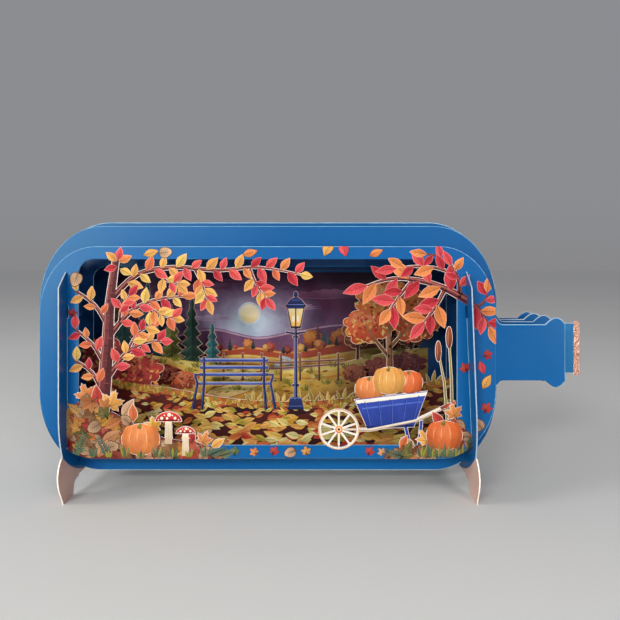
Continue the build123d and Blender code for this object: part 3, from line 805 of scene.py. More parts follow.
def litter(sheet, count, span, colours, near, far, order, top, bottom, cap=9):
    """Fallen leaves lying flat on the ground, larger towards the viewer."""
    layers = Layers(cap)
    for n in range(count):
        x = span[0] + (span[1] - span[0]) * rng.random()
        hi = top(x)
        share = rng.random() ** 1.05
        z = bottom + (hi - bottom) * share
        le = (near + (far - near) * share) * (0.8 + 0.4 * rng.random())
        turn = rng.choice((0, 180)) + rng.uniform(-34, 34)
        c, s = math.cos(math.radians(turn)), math.sin(math.radians(turn))
        k = layers.level(x + c * le / 2, z + s * le / 2, le * 0.36)
        if k is None:
            continue
        sheet.leaf(x, z, le, le * rng.uniform(0.34, 0.5), turn, rng.choice(colours),
                   order + 3 * k, edge=0.0, vein=le > 2.6)


def speckle(sheet, x, z, rx, rz, count, size, colours, order, cap=4, inside=0.9):
    """Small leaves scattered over a crown."""
    layers = Layers(cap)
    for k in range(count):
        a, r = 2.39996 * k + 0.4, inside * math.sqrt((k + 0.5) / count)
        px, pz = x + rx * r * math.cos(a), z + rz * r * math.sin(a)
        le = size * (0.75 + 0.5 * rng.random())
        turn = rng.uniform(0, 360)
        c, s = math.cos(math.radians(turn)), math.sin(math.radians(turn))
        lay = layers.level(px + c * le / 2, pz + s * le / 2, le * 0.42)
        if lay is not None:
            sheet.leaf(px, pz, le, le * 0.46, turn, rng.choice(colours), order + 2 * lay, edge=0, vein=False)


def blades(sheet, x, z, count, height, width, colours, order, spread=22.0):
    """A tuft of grass."""
    for k in range(count):
        t = k - (count - 1) / 2
        sheet.leaf(x + 0.42 * width * t, z, height * (1 - 0.05 * t * t + 0.12 * rng.random()), width,
                   90 - spread * t * 0.8 + rng.uniform(-5, 5), rng.choice(colours), order + 2 * (k % 3), edge=0, vein=False)


# ------------------------------------------------------------- back sheet
ABOVE = [(-999, -44.7), (999, -44.7), (999, 999), (-999, 999)]
# painted shade: the whole back print is darkened by its ink factor
back = Print("back_print", Y_BACK, ink=0.86, paint=DUSK)


def arched(left, right, low, high, radius):
    """Panel with rounded upper corners."""
    out = [(left, low), (right, low)]
    for cx, start in ((right - radius, 0), (left + radius, 90)):
        for n in range(9):
            a = math.radians(start + 90 * n / 8)
            out.append((cx + radius * math.cos(a), high - radius + radius * math.sin(a)))
    return out


back.add(arched(-99, 43.5, 16, 31.6, 6), (112, 48, 98), 0, (66, 34, 72))
back.add([(-99, 4), (43.5, 4), (43.5, 16), (-99, 16)], (150, 108, 158), 0, (112, 48, 98))
back.add([(-99, -10), (43.5, -10), (43.5, 4), (-99, 4)], (206, 196, 222), 0, (150, 108, 158))
back.add([(-99, -45), (43.5, -45), (43.5, -10), (-99, -10)], (196, 150, 70), 0, (206, 196, 222))


def sky(z):
    if z > 16:
        return mix((112, 48, 98), (66, 34, 72), min((z - 16) / 15.6, 1))
    return mix((150, 108, 158), (112, 48, 98), max((z - 4) / 12, 0))


for n in range(22):
    t = (n + 1) / 22
    rx, rz = 34 - 1.28 * n, 21.5 - 0.80 * n
    glow = (200, 214, 240)
    back.add(disc(-27, 9, rx, rz, 44), mix(sky(9 - rz), glow, t ** 1.1), 1 + 0.5 * n, mix(sky(9 + rz), glow, t ** 1.3))
back.add(disc(-27.5, 13.0, 5.2, 5.2, 36), (222, 228, 244), 13)
back.add(disc(-27.5, 13.0, 4.2, 4.2, 36), (255, 226, 168), 14, (255, 246, 222))
for x, z, w, h, c in ((-64, 20, 17, 2.2, (120, 62, 108)), (-47, 25.0, 12, 1.6, (104, 50, 96)),
                      (6, 21.5, 15, 2.0, (126, 66, 112)), (27, 26.5, 11, 1.5, (98, 46, 90)),
                      (-6, 15.8, 9, 1.3, (164, 130, 172)), (-45, 11, 9, 1.3, (176, 158, 196)),
                      (-30, 27.6, 14, 1.3, (100, 48, 92)), (34, 18.4, 8, 1.3, (120, 62, 108))):
    back.add(crown(x, z, w, h, 9, 0.3), tone(c, 0.94), 15, tone(c, 1.10))
    back.add(crown(x + w * 0.3, z + h * 0.6, w * 0.5, h * 0.8, 7, 0.3), tone(c, 1.04), 16, tone(c, 1.2))
    back.add(ribbon([(x - w * 1.3, z - h * 0.5, 0.1), (x, z - h * 0.9, 0.5), (x + w * 1.25, z - h * 0.4, 0.1)]), tone(c, 1.14), 17)
for n, (x, z) in enumerate(((-58, 15.4), (-54, 16.6), (-51, 15.0), (-11, 23.6), (-7.8, 24.6), (-5.2, 23.4))):
    back.add(ribbon([(x - 1.5, z + 0.5, 0.08), (x - 0.6, z + 0.75, 0.34), (x, z, 0.2)]), (48, 26, 56), 18)
    back.add(ribbon([(x + 1.5, z + 0.6, 0.08), (x + 0.6, z + 0.75, 0.34), (x, z, 0.2)]), (48, 26, 56), 18)
far = smooth([(-99, 3), (-80, 6), (-62, 3.5), (-44, 6.5), (-24, 2.5), (-6, 5.5), (14, 8.5), (30, 6.5), (43.5, 9.5)])
back.add(far + [(43.5, -20), (-99, -20)], (160, 106, 132), 18, (108, 70, 116))
back.add([(x, z - 0.3) for x, z in far] + [(x, z - 1.1) for x, z in far[::-1]], (196, 160, 190), 19)
# two woods on the far slope: firs and turning trees, tall at the sides
wood_inks = ((22, 58, 66), (70, 82, 40), (26, 82, 92), (92, 40, 44), (40, 62, 52), (120, 52, 40), (96, 96, 46), (30, 44, 62))
for n in range(34):
    left = n % 2 == 0
    t = (n // 2) / 16
    x = -98 + 38 * t if left else 43 - 42 * t
    grow = (1 - t) ** 0.8
    h = 7 + 15 * grow + 3.5 * math.sin(n * 2.7)
    base = -3 + 1.5 * math.sin(n * 1.3)
    c = wood_inks[(n * 5 + n // 3) % 8]
    lift = 20 + 2 * (16 - n // 2) % 12
    if n % 5 == 3:
        w = 4.6 + 2.2 * grow
        back.add(crown(x, base + h * 0.55, w, h * 0.46, 9, 0.2, n), tone((196, 76, 48), 0.62), lift, tone((238, 140, 70), 0.94))
        back.add(crown(x - w * 0.2, base + h * 0.64, w * 0.62, h * 0.28, 7, 0.24, n), tone((222, 104, 56), 0.86), lift + 1, tone((246, 168, 84), 1.0))
        back.add(ribbon([(x, base - 2, 0.9), (x, base + h * 0.5, 0.4)]), (70, 28, 34), lift + 1)
    else:
        w = 5.0 + 3.2 * grow
        back.add(conifer(x, base - 2, h, w, 7), tone(c, 0.58), lift, tone(c, 1.16))
        for k in range(6):
            low = base - 2 + h * (0.08 + 0.92 * k / 7)
            reach = w / 2 * (1 - k / 7) ** 0.85
            back.add(ribbon([(x - 0.2, low + h * 0.10, 0.12), (x - reach * 0.5, low + h * 0.05, 0.4), (x - reach * 0.9, low + 0.2, 0.08)]),
                     tone(c, 1.3), lift + 1)
mid = smooth([(-99, -1), (-74, 1.5), (-52, -2), (-28, 0.5), (-10, -1.8), (10, 1.5), (28, 4.5), (43.5, 2.5)])
mid = [(x, z - 2.4) for x, z in mid]
back.add(mid + [(43.5, -26), (-99, -26)], (222, 120, 64), 34, (176, 66, 56))
back.add([(x, z - 0.25) for x, z in mid] + [(x, z - 1.0) for x, z in mid[::-1]], (246, 170, 96), 35)
for n in range(36):
    x = -97 + 4.0 * n + 1.2 * math.sin(n * 3.1)
    z = level(mid, min(max(x, -98), 43)) - 0.6
    k = 0.8 + 0.35 * math.sin(n * 2.3)
    c = ((196, 70, 50), (232, 132, 58), (150, 44, 44), (246, 178, 84))[n % 4]
    if n % 3:
        back.add(crown(x, z + 1.5 * k, 2.1 * k, 2.2 * k, 7, 0.2, n), tone(c, 0.70), 36 + n % 2, tone(c, 1.1))
        back.add(crown(x - 0.4, z + 1.9 * k, 1.2 * k, 1.2 * k, 6, 0.2, n), tone(c, 1.2), 38)
    else:
        back.add(conifer(x, z - 0.4, 6.8 * k, 2.8, 4), (30, 44, 46), 39, (72, 78, 72))
near = smooth([(-99, -6), (-76, -4.5), (-50, -7), (-30, -5.5), (-8, -7.5), (12, -5), (30, -2.5), (43.5, -3.5)])
back.add(near + [(43.5, -45), (-99, -45)], (214, 142, 48), 41, (246, 190, 84))
back.add([(x, z - 0.25) for x, z in near] + [(x, z - 0.9) for x, z in near[::-1]], (252, 222, 130), 42)
river = smooth([(-14, -6.6, 1.2), (-9, -8.4, 2.4), (-15, -11.2, 4.2), (-6, -15.5, 7.5), (-18, -23, 13), (-12, -34, 20)], 5)
back.add(ribbon([(x, z, w * 1.16) for x, z, w in river]), (150, 104, 48), 43)
back.add(ribbon(river), (140, 174, 216), 44, (206, 220, 240))
for n in range(8):
    x, z, _ = along([p[:2] for p in river], 0.10 + 0.11 * n)
    back.add(ribbon([(x - 1.5 - n * 0.5, z, 0.08), (x, z + 0.15, 0.3), (x + 1.5 + n * 0.5, z, 0.08)]), (236, 242, 250), 45)
layers = Layers(4)
for n in range(150):
    x = -98 + 141 * rng.random()
    z = -8 - 26 * rng.random() ** 1.3
    lay = layers.level(x, z, 1.3)
    if abs(x + 12) > 7 + (-6 - z) * 0.55 and lay is not None:
        back.leaf(x, z, 2.2 + 1.8 * rng.random(), 0.7, rng.uniform(-18, 18),
                  rng.choice((OLIVE, GOLD, (216, 126, 60), PALE, BRICK)), 46 + 2 * lay, edge=0, vein=False)

# ------------------------------------------------------------ third sheet
# painted shade: the whole third print is darkened by its ink factor
third = Print("third_print", Y_THIRD, ABOVE, (-999, 999, 44.6), 0.80, DUSK)
third_line = smooth(
    [(-92, -1), (-72, -4), (-46, -8), (-20, -11), (2, -10), (22, -6),
     (36, -3), (52, -1)], 3
)
third_ground = third_line + [(52, -46), (-92, -46)]
firs = [(-82.0, -6, 31, 13.5, 7), (-71.5, -8, 36, 15.0, 8), (-61.0, -9, 27, 12.5, 6),
        (-52.0, -11, 33, 13.0, 7), (-43.0, -12, 22, 10.5, 6)]
fir_inks = [(24, 84, 86), (18, 70, 96), (126, 128, 48), (28, 70, 60), (24, 104, 118)]
for n, ((x, z, h, w, t), c) in enumerate(zip(firs, fir_inks)):
    third.add(conifer(x, z, h, w, t), tone(c, 0.60), n, tone(c, 1.14), trim=0.2)
    shape = inset(conifer(x, z, h, w, t), 0.2)
    right = sorted((p for p in shape if p[0] >= x), key=lambda p: p[1])
    third.add([(x, z)] + right + [(x, z + h - 0.6)], tone(c, 0.44), n + 5, tone(c, 0.84))
    for k in range(t):
        low = z + h * (0.08 + 0.92 * k / t)
        reach = w / 2 * (1 - k / t) ** 0.85
        for s in (-1, 1):
            third.add(
                ribbon([(x + s * 0.25, low + h * 0.72 / t, 0.18), (x + s * reach * 0.42, low + h * 0.34 / t, 0.5),
                        (x + s * reach * 0.86, low + 0.35, 0.1)]),
                tone(c, 1.24 if s < 0 else 1.0), n + 10)
            third.add(
                ribbon([(x + s * 0.2, low + h * 0.45 / t, 0.12), (x + s * reach * 0.34, low + h * 0.16 / t, 0.34),
                        (x + s * reach * 0.6, low + 0.3, 0.08)]),
                tone(c, 1.1 if s < 0 else 0.7), n + 11)
third.add(third_ground, (212, 132, 38), 20, (252, 212, 104), trim=0.22)
third.add([(p[0], p[1] - 0.35) for p in third_line] + [(p[0], p[1] - 2.0 - 0.6 * math.sin(p[0] * 0.2)) for p in third_line[::-1]],
          (255, 232, 142), 21, (252, 216, 112))
for n, path in enumerate((
        smooth([(-30, -11.2, 0.6), (-40, -13, 1.4), (-24, -17, 3.2), (-44, -24, 7.0), (-30, -36, 12)], 5),)):
    third.add(ribbon([(x, z, w * 1.2) for x, z, w in path]), (190, 120, 44), 22)
    third.add(ribbon(path), (236, 186, 104), 23, (252, 226, 160))
for n, (dz, k) in enumerate(((4.2, 0.9), (8.0, 0.8), (12.5, 0.9), (17.5, 0.8))):
    band = [(p[0], p[1] - dz - 0.7 * math.sin(p[0] * 0.11 + n)) for p in third_line if p[0] > -22 + 3 * n]
    third.add(band + [(x, z - 0.9 - 0.5 * math.sin(x * 0.19 + 2 * n)) for x, z in band[::-1]], (244, 196, 88) if n % 2 else (222, 150, 54), 22)
layers = Layers(5)
for n in range(300):
    x = -90 + 140 * rng.random()
    z = level(third_line, x) - 1.2 - 22 * rng.random() ** 1.2
    lay = layers.level(x + 1, z, 1.1)
    if lay is not None:
        third.leaf(x, z, 2.0 + 1.8 * rng.random(), 0.75, rng.uniform(-16, 16),
                   rng.choice((OLIVE, GOLD, (222, 110, 50), PALE, BRICK, (190, 160, 60), (252, 236, 160))), 25 + 2 * lay, edge=0, vein=False)
for n in range(46):
    x = -89 + 3.0 * n
    base = level(third_line, x) - 1.2 - 9 * abs(math.sin(n * 1.9)) ** 2
    blades(third, x, base, 5, 3.2, 0.85, (OLIVE, (186, 172, 64), (224, 192, 80), (150, 140, 50)), 36)
for x, z, w, h, c in ((-66, -13, 9, 5.4, BRICK), (-77, -16, 8, 5.0, (206, 70, 48)), (-56, -15.5, 7.4, 4.6, (226, 96, 56)),
                      (31, -10.5, 8, 5.0, (206, 70, 50)), (43, -8.5, 8.4, 5.4, BRICK), (20, -12.5, 6.2, 4.0, (232, 112, 58))):
    third.add(crown(x, z, w, h, 9, 0.22), tone(c, 0.66), 43, tone(c, 1.1))
    third.add(crown(x - w * 0.18, z + h * 0.2, w * 0.66, h * 0.62, 7, 0.22, 1), tone(c, 0.94), 44, tone(c, 1.26))
    speckle(third, x, z, w * 0.85, h * 0.8, 34, 1.5, (tone(c, 0.6), tone(c, 1.4), ORANGE), 45)
wood = (116, 58, 50)
for n in range(7):
    x = -38 + 8.4 * n
    third.add(ribbon([(x, -16, 1.3), (x, -3.6, 1.1)]), tone(wood, 0.8), 54, tone(wood, 1.15), trim=0.18)
    third.add(ribbon([(x - 0.24, -15.6, 0.2), (x - 0.2, -4.2, 0.2)]), tone(wood, 1.35), 55)
for rail in ([(-41, -6.2, 1.0), (-14, -8.0, 1.0), (15, -6.6, 1.0)], [(-41, -9.6, 1.0), (-14, -10.4, 1.0), (15, -8.4, 1.0)]):
    third.add(ribbon(rail), tone(wood, 0.9), 56, tone(wood, 1.2), (1, 0), trim=0.18)
    third.add(ribbon([(a, b + 0.2, 0.16) for a, b, _ in rail]), tone(wood, 1.4), 57)
for path in ([(21, -8, 1.8), (21, 4, 1.2)], [(33, -6, 2.0), (33, 8, 1.3)], [(44.5, -4, 2.0), (44.5, 6, 1.3)]):
    third.add(ribbon(path), (74, 28, 36), 18, (104, 44, 46), trim=0.15)
for n, ((x, z, rx, rz, lobes, turn), c) in enumerate(zip(
        ((21.0, 6.0, 7.4, 7.8, 9, 0.0), (33.0, 11.0, 8.6, 10.0, 10, 0.3), (45.0, 7.0, 7.6, 8.6, 9, 0.7)),
        ((238, 104, 56), (190, 46, 52), (240, 150, 66)))):
    third.add(crown(x, z, rx, rz, lobes, 0.15, turn), tone(c, 0.62), n, tone(c, 1.02), trim=0.2)
    third.add(crown(x - 0.8, z + 0.9, rx * 0.76, rz * 0.78, lobes, 0.2, turn + 0.3), tone(c, 0.82), n + 4, tone(c, 1.16))
    third.add(crown(x - 1.4, z + 1.9, rx * 0.48, rz * 0.5, 7, 0.24, turn), tone(c, 1.0), n + 8, tone(c, 1.3))
    speckle(third, x, z, rx, rz, 60, 1.6, (tone(c, 0.55), tone(c, 0.8), tone(c, 1.4), (250, 196, 96)), 12)
    third.add(ribbon([(x, z - rz * 0.7, 0.9), (x + 0.2, z + rz * 0.2, 0.3)]), (88, 34, 40), 22)
    third.add(ribbon([(x, z - rz * 0.3, 0.5), (x - rx * 0.35, z + rz * 0.15, 0.2)]), (88, 34, 40), 22)
    third.add(ribbon([(x, z - rz * 0.4, 0.5), (x + rx * 0.4, z + rz * 0.05, 0.2)]), (88, 34, 40), 22)

# ----------------------------------------------------------- second sheet
# painted shade: the whole second print is darkened by its ink factor
second = Print("second_print", Y_SECOND, ABOVE, (-999, 999, 44.6), 0.80, DIM)
second_line = smooth(
    [(-94, -11), (-80, -13.5), (-60, -16.5), (-38, -20.5), (-14, -22.5),
     (10, -21.5), (30, -19), (46, -15), (60, -12)], 3
)
second_ground = second_line + [(60, -45), (-94, -45)]
gold_tree = [
    ribbon(smooth([(32.5, -24, 4.2), (33.6, -8, 3.0), (33.2, 6, 2.2), (35, 14, 1.4)])),
    ribbon(smooth([(33.4, -4, 1.8), (27, 4, 1.4), (23, 10, 1.0)])),
    ribbon(smooth([(33.4, 0, 1.8), (40, 7, 1.4), (45, 11, 1.0)])),
]
trunk_ink = (170, 112, 74)
for n, (x, z, rx, rz, lobes, turn) in enumerate(
        ((24.0, 9.0, 10.5, 7.6, 9, 0.4), (44.5, 10.0, 10.0, 7.8, 9, 0.9), (34.0, 17.5, 16.0, 11.5, 13, 0.0))):
    c = (232, 92, 42) if n < 2 else (255, 132, 54)
    bite = 0.18 if n < 2 else 0.16
    second.add(crown(x, z, rx, rz, lobes, bite, turn), tone(c, 0.80), n, tone(c, 1.06), trim=0.22)
    second.add(crown(x - 1.0, z + 1.2, rx * 0.80, rz * 0.80, lobes, 0.22, turn + 0.2), tone(c, 0.88), n + 3, tone(c, 1.2))
    second.add(crown(x - 2.0, z + 2.4, rx * 0.52, rz * 0.52, 8, 0.26, turn), tone(c, 1.0), n + 6, tone(c, 1.4))
    speckle(second, x, z, rx, rz, 150 if n == 2 else 76, 2.0,
            ((226, 62, 44), (255, 204, 96), (255, 160, 70), (255, 226, 146), (186, 56, 40), (255, 118, 62)), 9, inside=0.88)
for path in gold_tree:
    second.add(path, tone(trunk_ink, 0.66), 19, tone(trunk_ink, 1.06), trim=0.18)
second.add(ribbon(smooth([(31.6, -23, 0.5), (32.6, -8, 0.4), (32.6, 5, 0.2)])), tone(trunk_ink, 1.3), 20)
second.add(ribbon(smooth([(33.8, -23, 0.9), (34.6, -8, 0.6), (34.1, 5, 0.3)])), tone(trunk_ink, 0.56), 20)
for n in range(7):
    second.add(ribbon([(33.2, -21 + 4.2 * n, 0.1), (34.2, -20.6 + 4.2 * n, 0.3), (34.8, -20.8 + 4.2 * n, 0.1)]), (106, 62, 48), 21)
for n, (x, z, rx, rz, lobes, turn) in enumerate(((-84.0, -6.0, 13.5, 10.5, 11, 0.0), (-71.5, -9.5, 9.5, 7.6, 9, 0.5))):
    c = ((170, 40, 50), (214, 64, 56))[n]
    second.add(crown(x, z, rx, rz, lobes, 0.18, turn), tone(c, 0.56), n, tone(c, 1.0), trim=0.22)
    second.add(crown(x - 0.6, z + 1.2, rx * 0.78, rz * 0.78, lobes, 0.22, turn + 0.3), tone(c, 0.78), n + 3, tone(c, 1.14))
    speckle(second, x, z, rx, rz, 80 - 24 * n, 2.6, (CORAL, ORANGE, (140, 30, 44), (240, 120, 84), (206, 50, 58), AMBER), 6)
second.add(second_ground, (40, 10, 16), 22, (112, 36, 30), trim=0.22)
second.add([(p[0], p[1] - 0.4) for p in second_line] + [(p[0], p[1] - 3.0 - 0.8 * math.sin(p[0] * 0.16)) for p in second_line[::-1]],
           (150, 74, 38), 23, (216, 132, 58))
for x0, x1, z in ((-50, -14, -26.4), (-12, 0, -26.6), (26, 42, -24.6)):
    second.add(disc((x0 + x1) / 2, z, (x1 - x0) / 2, 1.5, 26), (48, 12, 22), 24)
litter(second, 760, (-92, 58), (YELLOW, PALE, (196, 172, 62), AMBER, ORANGE, (206, 66, 48), (240, 210, 110), YELLOW, GOLD, (254, 240, 170), (224, 122, 58), AMBER),
       9.2, 2.6, 25, lambda x: level(second_line, x) - 0.8, -43.5)
for n, x in enumerate(-24 + 6.3 * k for k in range(13)):
    for side, tall, wide, turn in ((0.0, 6.0, 1.7, 0), (1.2, 4.3, 1.4, -30), (-1.2, 4.7, 1.4, 28)):
        second.leaf(x + side, level(second_line, x + side) - 1.4, tall + 1.2 * math.sin(2.1 * n + turn), wide,
                    90 + turn + 14 * math.sin(1.9 * n), ((206, 180, 74), OLIVE, (232, 196, 88))[(n + turn) % 3], 14 + 2 * (turn == 0),
                    edge=0.16, vein=False)
for n in range(64):
    x = -93 + 2.36 * n
    if -13 < x < 1.5 and n % 2:
        continue
    blades(second, x, level(second_line, x) - 2.2 - 1.2 * (n % 3 == 0), 4, 2.2, 0.75, (OLIVE, (198, 156, 62), (222, 120, 56), (232, 200, 92)), 53)
bench = [
    [(-47, -15.6), (-17, -15.6), (-17, -14.2), (-47, -14.2)],
    [(-46.5, -11.9), (-17.5, -11.9), (-17.5, -10.3), (-46.5, -10.3)],
    [(-46.5, -8.9), (-17.5, -8.9), (-17.5, -7.3), (-46.5, -7.3)],
    [(-46.5, -5.9), (-17.5, -5.9), (-17.5, -4.3), (-46.5, -4.3)],
]
for slat in bench:
    second.add(slat, (50, 72, 160), 64, (72, 98, 196), trim=0.16)
    (x0, z0), (x1, _), _, (_, z1) = slat
    second.add([(x0 + 0.5, z1 - 0.55), (x1 - 0.5, z1 - 0.55), (x1 - 0.5, z1 - 0.3), (x0 + 0.5, z1 - 0.3)], (158, 182, 238), 65)
    for k in range(4):
        xk = x0 + 5.5 + 6.2 * k
        second.add(ribbon([(xk - 2, z0 + 0.55, 0.06), (xk, z0 + 0.62, 0.16), (xk + 2.2, z0 + 0.5, 0.06)]), (32, 46, 116), 65)
for path in ([(-45.5, -26, 1.5), (-44.6, -15, 1.4), (-44.6, -3.6, 1.3)], [(-18.5, -26, 1.5), (-19.4, -15, 1.4), (-19.4, -3.6, 1.3)],
             [(-48.4, -11.6, 1.3), (-47.4, -15, 1.3), (-49.4, -25.5, 1.5)], [(-15.6, -11.6, 1.3), (-16.6, -15, 1.3), (-14.6, -26, 1.5)],
             [(-49.0, -11.2, 1.1), (-44.8, -11.2, 1.1)], [(-19.2, -11.2, 1.1), (-15.0, -11.2, 1.1)]):
    second.add(ribbon(path), tone(NAVY, 0.66), 66, NAVY, trim=0.15)
    second.add(ribbon([(x - 0.22, z, 0.14) for x, z, w in path[:-1]] + [(path[-1][0] - 0.22, path[-1][1] - 0.4 * (len(path) > 2), 0.14)]), (96, 118, 200), 67)
lamp = [
    [(-9.6, -26), (-2.4, -26), (-3.2, -21.5), (-4.7, -20.4), (-7.3, -20.4), (-8.8, -21.5)],
    [(-6.9, -22), (-5.1, -22), (-5.3, 9), (-6.7, 9)],
    [(-7.6, -16.2), (-4.4, -16.2), (-4.4, -15.0), (-7.6, -15.0)],
    [(-7.4, 4.2), (-4.6, 4.2), (-4.6, 5.2), (-7.4, 5.2)],
    [(-8.2, 8.2), (-3.8, 8.2), (-2.0, 17.6), (-10.0, 17.6)],
    [(-11.0, 17.2), (-1.0, 17.2), (-3.6, 20.6), (-5.2, 21.6), (-6.8, 21.6), (-8.4, 20.6)],
    disc(-6.0, 22.6, 1.1, 1.5, 12),
    ribbon([(-10.4, 6.8, 1.0), (-6.0, 6.0, 1.2), (-1.6, 6.8, 1.0)]),
]
for n, shape in enumerate(lamp):
    second.add(shape, tone(NAVY, 0.66), 68 + (n > 0), tone(NAVY, 1.06), trim=0.16)
second.add([(-6.5, -21.6), (-6.15, -21.6), (-6.15, 8.0), (-6.4, 8.0)], (120, 146, 226), 70)
for x0, x1, x2, x3 in ((-7.75, -6.25, -6.25, -9.2), (-5.75, -4.25, -2.8, -5.75)):
    second.add([(x0, 9.2), (x1, 9.2), (x2, 16.6), (x3, 16.6)], (255, 196, 92), 70, (255, 236, 180))
second.add(disc(-7.0, 12.4, 0.55, 1.5, 14), (255, 250, 226), 71)
second.add(disc(-5.0, 12.4, 0.5, 1.5, 14), (255, 250, 226), 71)
second.add(ribbon([(-9.6, 18.3, 0.3), (-2.4, 18.3, 0.3)]), (120, 146, 226), 70)
second.add(ribbon([(-7.8, 20.2, 0.2), (-4.2, 20.2, 0.2)]), (96, 118, 200), 70)
second.add(ribbon([(-8.6, -21.0, 0.3), (-3.4, -21.0, 0.3)]), (120, 146, 226), 70)
second.add(ribbon([(-9.0, -24.4, 0.24), (-3.0, -24.4, 0.24)]), (96, 118, 200), 70)

# ------------------------------------------------------------ front sheet
front = Print("front_print", Y_FRONT, rounded_body(-107.9, 74.2, 42.4, 22.3, 27.0, 0.04))
card = Card("front_frame", Y_FRONT)
tree_trunk = smooth(
    [(-83.5, -41, 7.2), (-82.6, -20, 6.0), (-80.8, 2, 5.0), (-79.8, 20, 4.0),
     (-77.0, 40, 3.0)]
)
tree_twigs = [
    smooth([(-82.0, -12, 2.6), (-74, -1, 2.0), (-66, 4, 1.5), (-58.5, 4.5, 0.8)]),
    smooth([(-80.5, 6, 2.6), (-72, 16, 2.0), (-62, 21, 1.4), (-50, 22.5, 0.8)]),
    smooth([(-79.6, 21, 2.8), (-69, 31, 2.2), (-54, 34.0, 1.9), (-37, 32.8, 1.6),
            (-20, 34, 1.2), (-3, 31, 0.8)]),
    smooth([(-82.3, -17, 2.0), (-87, -8, 1.6), (-94, -3, 1.2)]),
    smooth([(-80.3, 10, 2.0), (-86, 19, 1.6), (-94, 25, 1.2)]),
    smooth([(-46, 33.4, 1.4), (-43, 27, 1.1), (-40.5, 20, 0.8)]),
    smooth([(-24, 33.5, 1.3), (-21, 26.5, 1.0), (-17, 21, 0.8)]),
    smooth([(-81.8, -5, 1.9), (-87, 3.5, 1.5), (-94.5, 10, 1.1)]),
    smooth([(-73.0, 0.4, 1.4), (-69.0, 7.4, 1.1), (-62.5, 11.4, 0.8)]),
    smooth([(-66.0, 19.6, 1.3), (-60, 15.4, 1.1), (-53.5, 13.6, 0.8)]),
    smooth([(-62.0, 33.2, 1.4), (-57.0, 28.6, 1.1), (-51.5, 27.6, 0.8)]),
    smooth([(-76.0, 11.6, 1.3), (-75.2, 18.0, 1.0), (-71.5, 23.4, 0.8)]),
]
tree_leaves = (
    foliage(tree_twigs[0], 11, 0.24, 1.0, 5.9, 3.3, 50)
    + foliage(tree_twigs[1], 13, 0.22, 1.0, 6.0, 3.3, 52)
    + foliage(tree_twigs[2], 25, 0.12, 1.0, 6.2, 3.4, 54)
    + foliage(tree_twigs[3], 5, 0.30, 0.95, 5.6, 3.1, 55)
    + foliage(tree_twigs[4], 5, 0.30, 0.95, 5.6, 3.1, 55)
    + foliage(tree_twigs[5], 8, 0.30, 1.0, 5.8, 3.2, 50)
    + foliage(tree_twigs[6], 8, 0.30, 1.0, 5.8, 3.2, 50)
    + foliage(tree_twigs[7], 5, 0.34, 0.95, 5.4, 3.0, 52)
    + foliage(tree_twigs[8], 7, 0.30, 1.0, 5.6, 3.1, 50)
    + foliage(tree_twigs[9], 7, 0.32, 1.0, 5.6, 3.1, 50)
    + foliage(tree_twigs[10], 6, 0.40, 1.0, 5.6, 3.1, 50)
    + foliage(tree_twigs[11], 6, 0.35, 1.0, 5.4, 3.0, 50)
)
spray_twigs = [
    smooth([(64, 20, 3.6), (55, 25, 2.8), (45, 28.5, 2.2), (33, 29.5, 1.6),
            (22, 26.5, 1.0)]),
    smooth([(54, 25.6, 2.0), (50, 18, 1.5), (45, 11.5, 0.9)]),
    smooth([(41, 29.0, 1.7), (36, 23, 1.3), (31.5, 16.5, 0.9)]),
    smooth([(60, 22, 2.2), (59.2, 29, 1.7), (56, 35.5, 1.2)]),
    smooth([(59.2, 30.6, 1.7), (51, 33.6, 1.4), (42, 34.4, 1.2), (33.5, 33.4, 0.9)]),
]
spray_leaves = (
    foliage(spray_twigs[0], 9, 0.20, 1.0, 9.6, 4.6, 50)
    + foliage(spray_twigs[1], 6, 0.30, 1.0, 9.0, 4.4, 50)
    + foliage(spray_twigs[2], 5, 0.38, 1.0, 9.0, 4.3, 50)
    + foliage(spray_twigs[3], 4, 0.30, 1.0, 6.4, 3.4, 50)
    + foliage(spray_twigs[4], 6, 0.24, 1.0, 7.8, 3.9, 40)
)
# twigs that run on over the frame are printed there
printed_twigs = [
    smooth([(63, 20.5, 2.2), (67.5, 17.0, 1.7), (71.8, 9.5, 1.1)]),
    smooth([(66.5, 18.0, 1.3), (70.0, 21.0, 0.9), (70.8, 25.0, 0.6)]),
    smooth([(56.4, 35.2, 1.1), (51, 38.4, 0.9), (45.6, 39.4, 0.6)]),
]
printed_leaves = (
    foliage(printed_twigs[0], 5, 0.25, 1.0, 8.4, 4.2, 50)
    + foliage(printed_twigs[1], 3, 0.5, 1.0, 6.4, 3.5, 46)
    + foliage(printed_twigs[2], 3, 0.4, 1.0, 6.6, 3.4, 50)
)
bark = (112, 44, 52)
front.add(ribbon(tree_trunk), tone(bark, 0.92), 6, tone(bark, 1.08), trim=0.2)
front.add(ribbon([(x + w * 0.25, z, w * 0.38) for x, z, w in tree_trunk]), tone(bark, 0.66), 7, tone(bark, 0.8))
front.add(ribbon([(x - w * 0.34, z, w * 0.10) for x, z, w in tree_trunk]), (176, 104, 102), 8)
for n in range(26):
    x, z, _ = along([p[:2] for p in tree_trunk], 0.02 + 0.037 * n)
    w = 6.2 - 0.13 * n
    side = 1 if n % 2 else -1
    front.add(ribbon([(x + side * w * 0.40, z, 0.14), (x + side * w * 0.12, z + 0.15, 0.42), (x - side * w * 0.14, z + 0.1, 0.08)]),
              ((72, 24, 34), (140, 66, 68))[n % 3 == 0], 9)
    front.add(ribbon([(x - side * w * 0.08, z + 1.1, 0.08), (x - side * w * 0.06, z + 2.3, 0.26), (x - side * w * 0.1, z + 3.3, 0.06)]), (92, 30, 36), 9)
